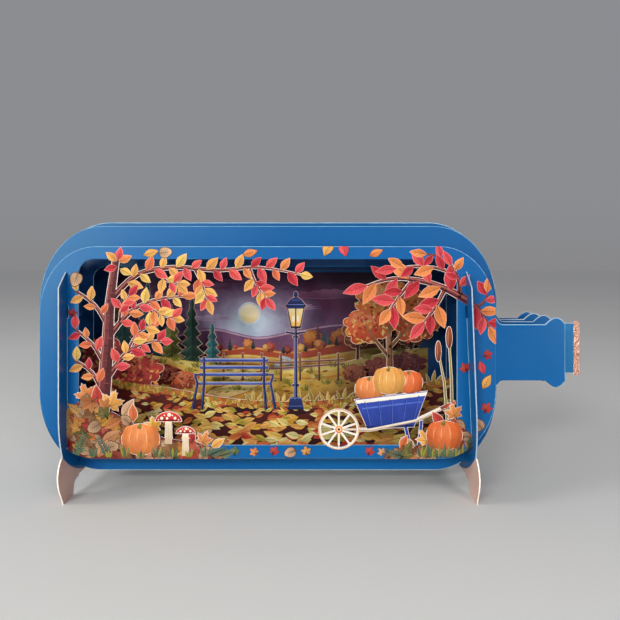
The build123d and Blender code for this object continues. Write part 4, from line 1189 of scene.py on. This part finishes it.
for n, twig in enumerate(tree_twigs + spray_twigs + printed_twigs):
    c = (120, 44, 50)
    edge = 0.16 if n < 17 else 0.0
    front.add(ribbon(twig), tone(c, 0.88), 2, tone(c, 1.08), (1, 0), trim=edge)
    front.add(ribbon([(x, z + w * 0.14, max(w * 0.20, 0.1)) for x, z, w in twig]), (172, 98, 94), 3)
    front.add(ribbon([(x, z - w * 0.26, max(w * 0.18, 0.08)) for x, z, w in twig]), tone(c, 0.6), 3)
leaf_inks = (CORAL, AMBER, ORANGE, (240, 86, 84), YELLOW, RED, AMBER, (238, 116, 74))
layers = Layers(15)
for n, (x, z, le, w, a) in enumerate(tree_leaves + spray_leaves + printed_leaves):
    c, s = math.cos(math.radians(a)), math.sin(math.radians(a))
    lay = layers.level(x + c * le / 2, z + s * le / 2, le * 0.44)
    pick = (n * 3 + n // 4) if n < len(tree_leaves) else (n * 5 + n // 3)
    c = leaf_inks[pick % 8]
    front.leaf(x, z, le, w, a, c, 10 + 4 * (14 if lay is None else lay), edge=0.16, rim=mix(c, CUT, 0.48))

wheel = (11.5, -30.6, 8.2)
tray = [(17.5, -18.6), (47.0, -15.2), (41.6, -29.8), (22.8, -30.6)]
pumpkins = [(23.8, -14.4, 6.0, 4.9), (39.6, -11.8, 5.6, 4.7), (31.6, -11.2, 6.6, 5.6)]
for n, (x, z, rx, rz) in enumerate(pumpkins):
    front.pumpkin(x, z, rx, rz, 10 + 10 * (n == 2), colour=(ORANGE, (236, 112, 58), AMBER)[n])
front.add(tray, (34, 54, 138), 32, (58, 84, 190), trim=0.2)
front.add([(18.1, -19.0), (46.6, -15.7), (46.1, -17.2), (18.7, -20.4)], (250, 246, 240), 33)
front.add([(22.1, -29.4), (41.4, -28.7), (41.2, -29.6), (22.9, -30.3)], (24, 38, 100), 33)
for x in (22.6, 27.6, 32.6, 37.6, 42.2):
    front.add(ribbon([(x + (x - 32) * 0.10, -19.6 + 0.05 * (x - 18), 0.16), (x - (x - 32) * 0.14, -29.0, 0.16)]), (28, 44, 116), 34)
    front.add(ribbon([(x + 0.3 + (x - 32) * 0.10, -19.6 + 0.05 * (x - 18), 0.10), (x + 0.3 - (x - 32) * 0.14, -29.0, 0.10)]), (112, 138, 220), 34)
front.add(ribbon([(20.8, -22.4, 0.5), (32, -21.0, 0.7), (44.6, -19.6, 0.5)]), (88, 116, 212), 34)
for x, z in ((20.6, -20.3), (31.8, -19.0), (43.4, -17.5)):
    front.add(disc(x, z, 0.34, 0.34, 10), (52, 74, 170), 35)
front.add(ribbon([(11.5, -30.6, 1.3), (24, -30.8, 1.5), (42, -27.2, 1.5), (58, -19.6, 1.4)]), (222, 206, 190), 36, (252, 246, 236), (1, 0), trim=0.2)
front.add(ribbon([(12.5, -30.95, 0.3), (24, -31.15, 0.34), (42, -27.6, 0.34), (52, -22.9, 0.3)]), (178, 152, 136), 37)
front.add(ribbon([(52, -22.4, 1.5), (58, -19.6, 1.4)]), (150, 60, 52), 38, (190, 84, 66), (1, 0), trim=0.16)
for path in ([(38.0, -29, 1.5), (40.5, -40, 1.3)], [(44.5, -27, 1.4), (43.0, -40, 1.2)]):
    front.add(ribbon(path), (34, 50, 128), 31, (60, 84, 186), trim=0.18)
ring = 40
for k in range(ring):
    a0, a1 = 2 * math.pi * k / ring, 2 * math.pi * (k + 1) / ring
    for r0, r1, c, order in ((wheel[2] - 1.0, wheel[2] - 0.10, (250, 246, 238), 39), (wheel[2] - 0.44, wheel[2] - 0.14, (236, 172, 120), 40)):
        front.add([(wheel[0] + r * math.cos(a), wheel[1] + r * math.sin(a)) for r, a in ((r0, a0), (r1, a0), (r1, a1), (r0, a1))], c, order)
for k in range(10):
    a = math.radians(18 + 36 * k)
    front.add(ribbon([(wheel[0], wheel[1], 0.5), (wheel[0] + 7.3 * math.cos(a), wheel[1] + 7.3 * math.sin(a), 0.5)]), (250, 246, 238), 40)
front.add(disc(*wheel[:2], 1.5, 1.5, 18), (224, 120, 70), 41, (246, 164, 96))
front.add(disc(*wheel[:2], 0.9, 0.9, 16), (250, 214, 170), 42)
front.add(disc(*wheel[:2], 0.5, 0.5, 12), (52, 40, 60), 43)

heap = smooth([(-94, -20.5), (-88, -19), (-79, -23.5), (-69, -29), (-58, -34), (-44, -36), (-38, -40)], 3) + [(-94, -40)]
front.add(heap, (96, 32, 36), 44, (150, 60, 46), trim=0.05)
front.add([(-96.4, -23.5), (-93.5, -21.0), (-88, -22), (-70, -31), (-50, -38), (-44, -42.3), (-96.4, -42.3)],
          (96, 32, 36), 43, (150, 60, 46))
for x, z, le, w, a, c in ((-95.2, -25.5, 5.4, 2.6, 281, (204, 142, 100)), (-95.0, -29.6, 6.0, 2.9, 286, (164, 48, 46)),
                          (-94.8, -34.6, 5.5, 2.8, 301, (214, 150, 76)), (-93.6, -38.4, 5.6, 2.8, 337, (186, 78, 60)),
                          (-90.4, -41.0, 5.8, 2.4, 3, (214, 164, 98)), (-85.2, -41.3, 5.6, 2.2, 3, (134, 54, 44)),
                          (-80.2, -41.2, 5.2, 2.2, 0, (196, 142, 52))):
    front.leaf(x, z, le, w, a, c, 44, edge=0.12, rim=tone(c, 0.52))
right_heap = smooth([(30, -40), (44, -36.5), (52, -34), (61, -27)], 3) + [(61, -40)]
front.add(right_heap, (96, 36, 36), 44, (166, 76, 50), trim=0.05)
warm = ((212, 122, 66), (214, 150, 76), (186, 78, 60), (196, 142, 52), (164, 48, 46), (204, 142, 100), (112, 104, 54), (202, 124, 70),
        (134, 54, 44), (190, 144, 112), (214, 164, 98), (136, 92, 56))
cut_leaves = (
    ("m", -89.0, -17.6, 6.0, 112, ORANGE), ("m", -79.4, -20.6, 6.2, 72, AMBER), ("m", -92.4, -25.5, 5.2, 160, (226, 96, 74)),
    ("m", -62.6, -29.8, 4.8, 96, GOLD), ("m", -42.6, -35.2, 4.6, 66, (236, 150, 84)),
    ("l", -84.4, -22.0, 9.4, 4.8, 96, (206, 66, 60)), ("l", -75.0, -26.0, 9.0, 4.6, 58, (222, 176, 140)),
    ("l", -70.5, -28.0, 7.8, 4.0, 92, (232, 120, 70)), ("l", -46.5, -37.0, 7.6, 3.8, 104, (196, 56, 54)),
    ("l", -39.6, -38.0, 6.8, 3.5, 34, AMBER),
    ("m", 57.4, -24.6, 5.0, 104, (236, 150, 84)), ("m", 46.2, -34.6, 4.8, 124, AMBER),
    ("l", 53.4, -30.0, 8.2, 4.2, 126, (206, 66, 60)), ("l", 42.0, -38.0, 7.2, 3.7, 146, (222, 176, 140)),
    ("l", 35.8, -38.6, 6.6, 3.4, 62, (232, 120, 70)),
)
layers = Layers(9)
for kind, x, z, *size, c in cut_leaves:
    if kind == "m":
        lay = layers.level(x, z, size[0] * 0.6)
        front.maple(x, z, *size, c, 46 + 4 * lay, edge=0.2, rim=CUT)
    else:
        ca, sa = math.cos(math.radians(size[2])), math.sin(math.radians(size[2]))
        lay = layers.level(x + ca * size[0] / 2, z + sa * size[0] / 2, size[0] * 0.4)
        front.leaf(x, z, *size, c, 46 + 4 * lay, edge=0.2, rim=CUT)


def pile(spots, order):
    """Fallen leaves of several kinds, one over another, wholly on the card."""
    rng.shuffle(spots)
    for n, (x, z) in enumerate(spots):
        kind = (n * 7) % 10
        size = rng.uniform(3.4, 5.2)
        turn, c = rng.uniform(0, 360), rng.choice(warm)
        ca, sa = math.cos(math.radians(turn)), math.sin(math.radians(turn))
        le = size * 1.9
        for step in range(5):
            if kind < 5:
                outline = maple(x, z, size, turn)
            elif kind < 8:
                outline = leaf(x - ca * le / 2, z - sa * le / 2, le, le * 0.46, turn)
            else:
                outline = disc(x, z, size * 0.56, size * 0.56, 12)
            if all(card.has(a, max(b, -42.3)) for a, b in outline):
                break
            z -= 0.8
            size, le = size * 0.93, le * 0.93
        else:
            continue
        lay = layers.level(x, z, size * 0.56)
        if lay is None:
            continue
        k = order + 4 * lay
        if kind < 5:
            front.maple(x, z, size, turn, c, k, edge=0.13, rim=tone(c, 0.52))
        elif kind < 8:
            front.leaf(x - ca * le / 2, z - sa * le / 2, le, le * 0.46, turn, c, k, edge=0.12, rim=tone(c, 0.52))
        else:
            front.aspen(x, z, size * 0.56, turn, (192, 150, 118), k, rim=(92, 58, 44))


def roof_left(x):
    if x < -94:
        return -21.5 - (-94 - x) * 1.1
    return level(heap, min(x, -38.1)) + 0.4 if x < -38.1 else -39.6


def roof_right(x):
    if x > 60.8:
        return -27.5 - (x - 60.8) * 1.3
    return level(right_heap, max(x, 30.1)) + 0.4


spots = []
for x0, x1, roof in ((-99.5, -35.0, roof_left), (31.0, 68.5, roof_right)):
    x = x0
    while x < x1:
        z = -41.0
        while z < roof(x):
            spots.append((x + rng.uniform(-1.1, 1.1), z + rng.uniform(-1.0, 1.0)))
            z += 2.7
        x += 2.9
pile(spots, 46)
for x, z, le, a, c in ((-93, -40.6, 9, 62, (78, 104, 78)), (-80.5, -41.2, 8.4, 112, (62, 92, 84)), (-57.5, -41.6, 7.0, 150, (92, 108, 70)),
                       (-40.5, -41.0, 8.0, 24, (70, 98, 80)), (-36.0, -41.2, 7.0, 14, (98, 112, 72)), (37.4, -41.4, 8.0, 164, (70, 98, 80)),
                       (63.0, -38.6, 8.4, 62, (62, 92, 84)), (48.0, -41.4, 7.0, 100, (92, 108, 70)), (61.5, -40.2, 7.6, 20, (78, 104, 78))):
    front.frond(x, z, le, a, c, 84)
front.pumpkin(-67.5, -34.6, 7.8, 6.4, 87)
front.pumpkin(53.6, -33.0, 7.4, 6.0, 87, colour=(238, 118, 60))
for x, z, rx, rz in ((-56.4, -27.6, 5.4, 4.2), (-49.6, -32.4, 4.0, 3.1)):
    front.add([(x - 1.3, z + 0.4), (x + 1.3, z + 0.4), (x + 1.7, z - 9), (x - 1.7, z - 9)], (206, 178, 150), 94, (252, 240, 220), trim=0.2)
    for dx in (-0.6, 0.0, 0.6):
        front.add(ribbon([(x + dx, z - 0.6, 0.14), (x + dx * 1.3, z - 8.4, 0.08)]), (196, 164, 138), 95)
    front.add(ribbon([(x - 1.6, z - 1.7, 0.5), (x, z - 2.1, 0.6), (x + 1.6, z - 1.7, 0.5)]), (236, 216, 194), 96)
    cap = [(x + rx * math.cos(math.pi * n / 12), z + rz * math.sin(math.pi * n / 12)) for n in range(13)]
    front.add(cap, CUT, 96)
    front.add(cap, (170, 30, 42), 97, (232, 70, 66), trim=0.22)
    front.add([(x + rx * 0.92 * math.cos(math.pi * n / 12), z + 0.32 + 0.15 * rz * math.sin(math.pi * n / 12)) for n in range(13)],
              (122, 22, 36), 98)
    for dx, dz, r in ((-0.5, 0.35, 0.12), (0.05, 0.68, 0.14), (0.48, 0.36, 0.11), (-0.1, 0.34, 0.09), (0.28, 0.62, 0.06), (-0.3, 0.62, 0.05), (0.74, 0.2, 0.05), (-0.74, 0.2, 0.05)):
        front.add(disc(x + dx * rx, z + dz * rz, r * rx, r * rx, 12), CREAM, 99)
for path in ([(55.8, -38, 1.5), (53.6, -12, 1.0), (50.8, 2.5, 0.7)], [(57.0, -38, 1.5), (56.4, -10, 1.1), (55.4, 6.5, 0.9)]):
    front.add(ribbon(path), (112, 112, 50), 4, (164, 152, 76), trim=0.14)
for x, z, rx, rz in ((51.2, 0.5, 1.3, 4.4), (55.5, 6.0, 1.4, 4.6)):
    front.add(disc(x, z, rx, rz, 14), (100, 44, 36), 5, (160, 84, 52), trim=0.16)
    front.add(ribbon([(x - 0.4, z - rz * 0.7, 0.1), (x - 0.45, z, 0.36), (x - 0.3, z + rz * 0.7, 0.1)]), (206, 130, 84), 6)
for n in range(9):
    if n < 8:
        blades(front, 44.5 + 2.3 * n, -42.0, 3, 4.4 + 1.4 * math.sin(2.0 * n), 1.15, ((96, 114, 84), OLIVE, (150, 142, 74), (84, 104, 84)), 98)
    blades(front, -93 + 6.4 * n, -42.0, 3, 4.0 + 1.3 * math.sin(2.6 * n), 1.1, ((96, 114, 84), OLIVE, (150, 142, 74), (84, 104, 84)), 98)

# single leaves printed on the frame
for x, z, le, w, a, c in ((5.6, 38.4, 8.5, 4.3, 66, AMBER), (14.4, 38.2, 7.6, 4.0, 106, CORAL),
                          (-27, 38.9, 6.4, 3.3, 16, ORANGE), (68.8, -14.5, 6.6, 3.6, 60, AMBER), (69.5, -8.5, 5.6, 3.1, 110, CORAL),
                          (-66.5, 38.9, 6.4, 3.3, 16, AMBER), (23.6, 38.6, 6.0, 3.2, 24, ORANGE)):
    front.leaf(x, z, le, w, a, c, 60, edge=0.12, rim=tone(c, 0.62))
for x, z, s, a, c in ((-30.0, -39.7, 2.7, 80, (112, 132, 92)), (-22.0, -39.9, 2.6, 140, ORANGE), (-14.5, -39.6, 2.7, 60, (206, 66, 58)),
                      (-1.5, -39.7, 2.7, 100, AMBER), (23.6, -39.7, 2.7, 60, (206, 66, 58)), (28.8, -39.9, 2.4, 130, (240, 176, 124)),
                      (70.2, -22.5, 3.2, 60, (206, 66, 58)), (62.0, -6.5, 3.0, 120, (206, 66, 58)),
                      (70.4, -1.0, 2.8, 20, (196, 56, 54)), (-94.8, 15.4, 2.6, 80, (176, 50, 56))):
    front.maple(x, z, s, a, c, 60, edge=0.1, rim=tone(c, 0.66))
for x, z, le, w, a, c in ((-76.6, 36.6, 5.8, 3.2, 78, CORAL), (-77.0, 36.4, 5.8, 3.2, 140, AMBER), (-76.4, 36.2, 6.0, 3.3, 24, ORANGE),
                          (-76.8, 34.4, 5.6, 3.1, 196, RED), (-76.0, 33.4, 5.6, 3.1, -24, YELLOW)):
    front.leaf(x, z, le, w, a, c, 50, edge=0.16, rim=mix(c, CUT, 0.62))
for x, z, r, a in ((-93.2, 29.6, 2.7, 250), (-7.6, -39.7, 2.2, 200), (-58, 39.9, 2.4, 10), (67.4, -29.0, 2.5, 130)):
    front.aspen(x, z, r, a, (224, 180, 142), 60, rim=(112, 74, 60))


# ------------------------------------------------- pale line of a cut edge, with painted highlight
def box_distance(x, z, box):
    """Distance in millimetres from a rounded window, negative inside."""
    left, right, bottom, top, radius = box
    ax = abs(x - (left + right) / 2) - (right - left) / 2 + radius
    az = abs(z - (bottom + top) / 2) - (top - bottom) / 2 + radius
    return math.hypot(max(ax, 0), max(az, 0)) + min(max(ax, az), 0) - radius


def cut_line(sheet, node, y_face, window, width, outer, inner, dull, low=-1e9, lip_glint=0.0, under=None):
    """A thin line of bare board along a cut edge, with painted highlight: pale where the edge faces up, blue where it
    faces down.
    """
    for loop in loops(node, y_face):
        if area(loop) < 0 and window is None:
            continue
        count = len(loop)
        side = []
        for n in range(count):
            (ax, az), (bx, bz), (cx, cz) = loop[n - 1], loop[n], loop[(n + 1) % count]
            u, v = (bx - ax, bz - az), (cx - bx, cz - bz)
            lu, lv = math.hypot(*u) or 1e-9, math.hypot(*v) or 1e-9
            nx, nz = -u[1] / lu - v[1] / lv, u[0] / lu + v[0] / lv
            size = math.hypot(nx, nz)
            if size < 0.3:
                side.append((0.0, 0.0))
                continue
            k = 1 / max(size / 2, 0.6) / size
            side.append((nx * k, nz * k))
        far = [window is None or box_distance(x, z, window) > -0.06 for x, z in loop]
        run = []

        def flush(run):
            if len(run) < 2:
                return
            a = [(loop[i][0] + side[i][0] * 0.01, loop[i][1] + side[i][1] * 0.01) for i in run]
            b = [(loop[i][0] + side[i][0] * width, loop[i][1] + side[i][1] * width) for i in run]
            mid = run[len(run) // 2]
            near = window is not None and box_distance(*loop[mid], window) < 0.5
            nx, nz = side[mid]
            size = math.hypot(nx, nz) or 1.0
            # painted highlight: pale where the edge faces up, a little more where it faces left, fading to the blue
            # face where it faces down
            light = 0.5 - 0.5 * nz / size + 0.12 * nx / size
            # painted highlight: edges facing right, low on the right-hand side, are made paler still
            if loop[mid][0] > 56 and loop[mid][1] < -12 and nx < -0.2 * size:
                light += 0.62
            if under:
                if nz / size > 0.8 and loop[mid][1] < -40:
                    under.add(a + b[::-1], outer, 0)
                return
            # painted glint: on the neck's lips the line runs towards white where it faces up
            if lip_glint and loop[mid][0] > 76:
                sheet.add(a + b[::-1], mix(mix(dull, outer, 0.4), (250, 252, 254), lip_glint * min(max(1.9 * light - 0.3, 0.0), 1.0)), 0)
                return
            if loop[mid][1] > low:
                sheet.add(a + b[::-1], mix(dull, inner if near else outer, min(max(1.9 * light - 0.5, 0.0), 1.0)), 0)

        for n in range(count + 1):
            i = n % count
            if far[i]:
                run.append(i)
                if len(run) > 3:
                    flush(run)
                    run = [i]
            else:
                flush(run)
                run = []
        flush(run)


BLUE = (12, 92, 154)
EVEN = (1.0, 1.0, 1.0)
second_rim = Print("second_rim_print", Y_SECOND, ABOVE, (-999, 999, 44.6), 0.9, wash=EVEN)
third_rim = Print("third_rim_print", Y_THIRD, ABOVE, (-999, 999, 44.6), 0.9, wash=EVEN)
back_rim = Print("back_rim_print", Y_BACK, ink=0.9, wash=EVEN)
front_rim = Print("front_rim_print", Y_FRONT, rounded_body(-107.9, 74.2, 42.4, 22.3, 27.0, 0.04), wash=EVEN)
# The same bare board gets a different line colour on each sheet, with darker window edges and darker inner sheets:
# painted highlight and painted shade.
cut_line(front_rim, "front_frame", Y_FRONT, (-92.4, 58.6, -36.9, 37.3, 6.0), 0.24, (140, 188, 226), (110, 160, 206), BLUE)
cut_line(second_rim, "second_layer", Y_SECOND, (-91.2, 57.4, -43.0, 34.3, 5.0), 0.26, (122, 176, 218), (64, 96, 144), BLUE, -44.0, 0.8)
cut_line(third_rim, "third_layer", Y_THIRD, (-88.4, 48.0, -44.0, 32.2, 6.0), 0.34, (168, 206, 236), (60, 90, 138), BLUE, -44.0, 0.8)
cut_line(back_rim, "back_panel", Y_BACK, None, 0.26, (70, 122, 162), None, BLUE, -44.0, 0.8)
neck = Print("neck_print", Y_FRONT + 0.5, wash=EVEN)
cut_line(neck, "front_neck", Y_FRONT + 0.5, None, 0.28, (164, 202, 230), None, BLUE)

front_foot = Print("front_foot_print", Y_FRONT, wash=EVEN)
cut_line(front_foot, "front_frame", Y_FRONT, None, 0.30, (128, 168, 204), None, BLUE, under=front_foot)
second_foot = Print("second_foot_print", Y_SECOND, wash=EVEN)
cut_line(second_foot, "second_layer", Y_SECOND, None, 0.25, (170, 188, 206), None, BLUE, under=second_foot)

for sheet in (back, third, second, front, neck, back_rim, third_rim, second_rim, front_rim, front_foot, second_foot):
    sheet.build()


# -------------------------------------------------------- glitter flakes
def flakes(count):
    """Loose-edged glitter: thin six-sided flakes, tilted, on the band."""
    verts, faces, inks = [], [], []
    low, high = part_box("glitter_band")
    palette = [lin(c) for c in ((204, 150, 128), (172, 110, 90), (142, 78, 62), (250, 222, 204), (108, 56, 46), (184, 126, 104))]
    for n in range(count):
        r = rng.uniform(0.11, 0.22) / 1000
        x = rng.uniform(low[0] + r, high[0] - r)
        z = rng.uniform(low[2] + r, high[2] - r)
        y = low[1] - rng.uniform(0.0, 0.05) / 1000
        tilt, turn = math.radians(rng.uniform(0, 38)), rng.uniform(0, 2 * math.pi)
        nx, nz = math.sin(tilt) * math.cos(turn), math.sin(tilt) * math.sin(turn)
        normal = Vector((nx, -math.cos(tilt), nz))
        u = normal.cross(Vector((0, 0, 1))).normalized()
        v = normal.cross(u)
        spin = rng.uniform(0, 1.0)
        base = len(verts)
        for depth in (0.5, -0.5):
            for k in range(6):
                a = spin + math.pi * k / 3
                p = Vector((x, y, z)) + (u * math.cos(a) + v * math.sin(a)) * r + normal * depth * 0.00003
                p.x = min(max(p.x, low[0]), high[0])
                verts.append(p[:])
        shade = rng.choice(palette)
        flat = [tuple(base + k for k in range(6)), tuple(base + 6 + k for k in range(5, -1, -1))]
        a, b, c = (Vector(verts[i]) for i in flat[0][:3])
        if (b - a).cross(c - b).dot(normal) < 0:
            flat = [f[::-1] for f in flat]
            walls = [(base + k, base + (k + 1) % 6, base + 6 + (k + 1) % 6, base + 6 + k) for k in range(6)]
        else:
            walls = [(base + (k + 1) % 6, base + k, base + 6 + k, base + 6 + (k + 1) % 6) for k in range(6)]
        for f in flat + walls:
            faces.append(f)
            inks.append([shade] * len(f))
    mesh = bpy.data.meshes.new("glitter_flakes")
    mesh.from_pydata(verts, [], faces)
    g = Graph("glitter_flake")
    ink = g.node("ShaderNodeAttribute", attribute_name="ink", attribute_type="GEOMETRY").outputs["Color"]
    g.link(g.blend(g.ramp(g.noise(5200.0, 2.0), 0.35, 0.65, 0.0, 0.2), ink, lin((230, 190, 168))), g.shader.inputs["Base Color"])
    g.shader.inputs["Metallic"].default_value = 0.6
    g.link(g.ramp(g.noise(3000.0, 1.0), 0.3, 0.7, 0.2, 0.42), g.shader.inputs["Roughness"])
    mesh.materials.append(g.material)
    layer = mesh.attributes.new("ink", "FLOAT_COLOR", "CORNER")
    layer.data.foreach_set("color", [v for face in inks for shade in face for v in (*shade, 1.0)])
    mesh.validate()
    obj = bpy.data.objects.new("glitter_flakes", mesh)
    bpy.context.scene.collection.objects.link(obj)
    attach(obj, "root")


flakes(1300)

# ----------------------------------------------------- stage, light, camera
def plane(name, size, z):
    """A plain pale floor, softly uneven in tone."""
    mesh = bpy.data.meshes.new(name)
    h = size / 2
    mesh.from_pydata([(-h, -h, z), (h, -h, z), (h, h, z), (-h, h, z)], [], [(0, 1, 2, 3)])
    obj = bpy.data.objects.new(name, mesh)
    bpy.context.scene.collection.objects.link(obj)
    g = Graph(name + "_paint")
    tint = g.blend(g.ramp(g.noise(2.0, 2.0), 0.35, 0.65), lin((209, 208, 206)), lin((213, 212, 210)))
    g.link(tint, g.shader.inputs["Base Color"])
    g.shader.inputs["Roughness"].default_value = 0.8
    g.shader.inputs["Specular IOR Level"].default_value = 0.15
    obj.data.materials.append(g.material)
    return obj


plane("floor", 30.0, 0.0)

world = bpy.data.worlds.new("studio")
bpy.context.scene.world = world
world.use_nodes = True
tree = world.node_tree
background = tree.nodes["Background"]
place = tree.nodes.new("ShaderNodeTexCoord")
split = tree.nodes.new("ShaderNodeSeparateXYZ")
tree.links.new(place.outputs["Generated"], split.inputs[0])
fade = tree.nodes.new("ShaderNodeValToRGB")
tree.links.new(split.outputs[2], fade.inputs[0])
fade.color_ramp.elements[0].position = 0.0
fade.color_ramp.elements[0].color = (*lin((136, 136, 138)), 1)
fade.color_ramp.elements[1].position = 0.09
fade.color_ramp.elements[1].color = (*lin((140, 141, 145)), 1)
fade.color_ramp.elements.new(0.34).color = (*lin((140, 141, 145)), 1)
fade.color_ramp.elements.new(1.0).color = (*lin((178, 179, 182)), 1)
tree.links.new(fade.outputs[0], background.inputs["Color"])
background.inputs["Strength"].default_value = 1.0


def softbox(name, place, aim, size, power, colour=(1, 1, 1)):
    data = bpy.data.lights.new(name, "AREA")
    data.shape = "RECTANGLE"
    data.size, data.size_y = size
    data.energy = power
    data.color = colour
    obj = bpy.data.objects.new(name, data)
    bpy.context.scene.collection.objects.link(obj)
    obj.location = place
    obj.rotation_euler = (Vector(aim) - Vector(place)).to_track_quat("-Z", "Y").to_euler()
    obj.visible_camera = False
    return obj


softbox("key", (-0.34, -1.15, 0.44), (0, 0, 0.06), (0.28, 0.13), 7.3, (1.0, 0.97, 0.955))
softbox("second_key", (0.40, -1.15, 0.45), (0, 0, 0.06), (0.28, 0.13), 4.2, (1.0, 0.985, 0.97))
softbox("front_fill", (-0.5, -2.4, 1.25), (0, 0, 0.05), (3.0, 1.6), 12.0, (1.0, 0.99, 1.0))
softbox("left_sheen", (-0.455, -0.95, 0.13), (-0.05, 0, 0.06), (0.11, 0.24), 3.0, (0.66, 1.0, 0.76))
softbox("right_sheen", (0.56, -0.95, 0.045), (0.08, 0, 0.06), (0.12, 0.08), 1.3, (0.9, 0.99, 1.0))
softbox("left_fill", (-1.1, -0.50, 0.50), (-0.2, 0, 0.02), (0.5, 0.3), 6.4, (1.0, 0.985, 0.97))

camera_data = bpy.data.cameras.new("camera")
camera_data.sensor_width = 36.0
camera_data.lens = 41.8
camera_data.shift_y = -0.07
camera = bpy.data.objects.new("camera", camera_data)
bpy.context.scene.collection.objects.link(camera)
camera.location = (0.0013, -0.3203, 0.0937)
camera.rotation_euler = (math.radians(90), 0, 0)
bpy.context.scene.camera = camera
bpy.context.scene.view_settings.view_transform = "Standard"

for obj in bpy.context.scene.objects:
    if obj.type == "MESH":
        print("triangles", obj.name, sum(len(p.vertices) - 2 for p in obj.data.polygons))
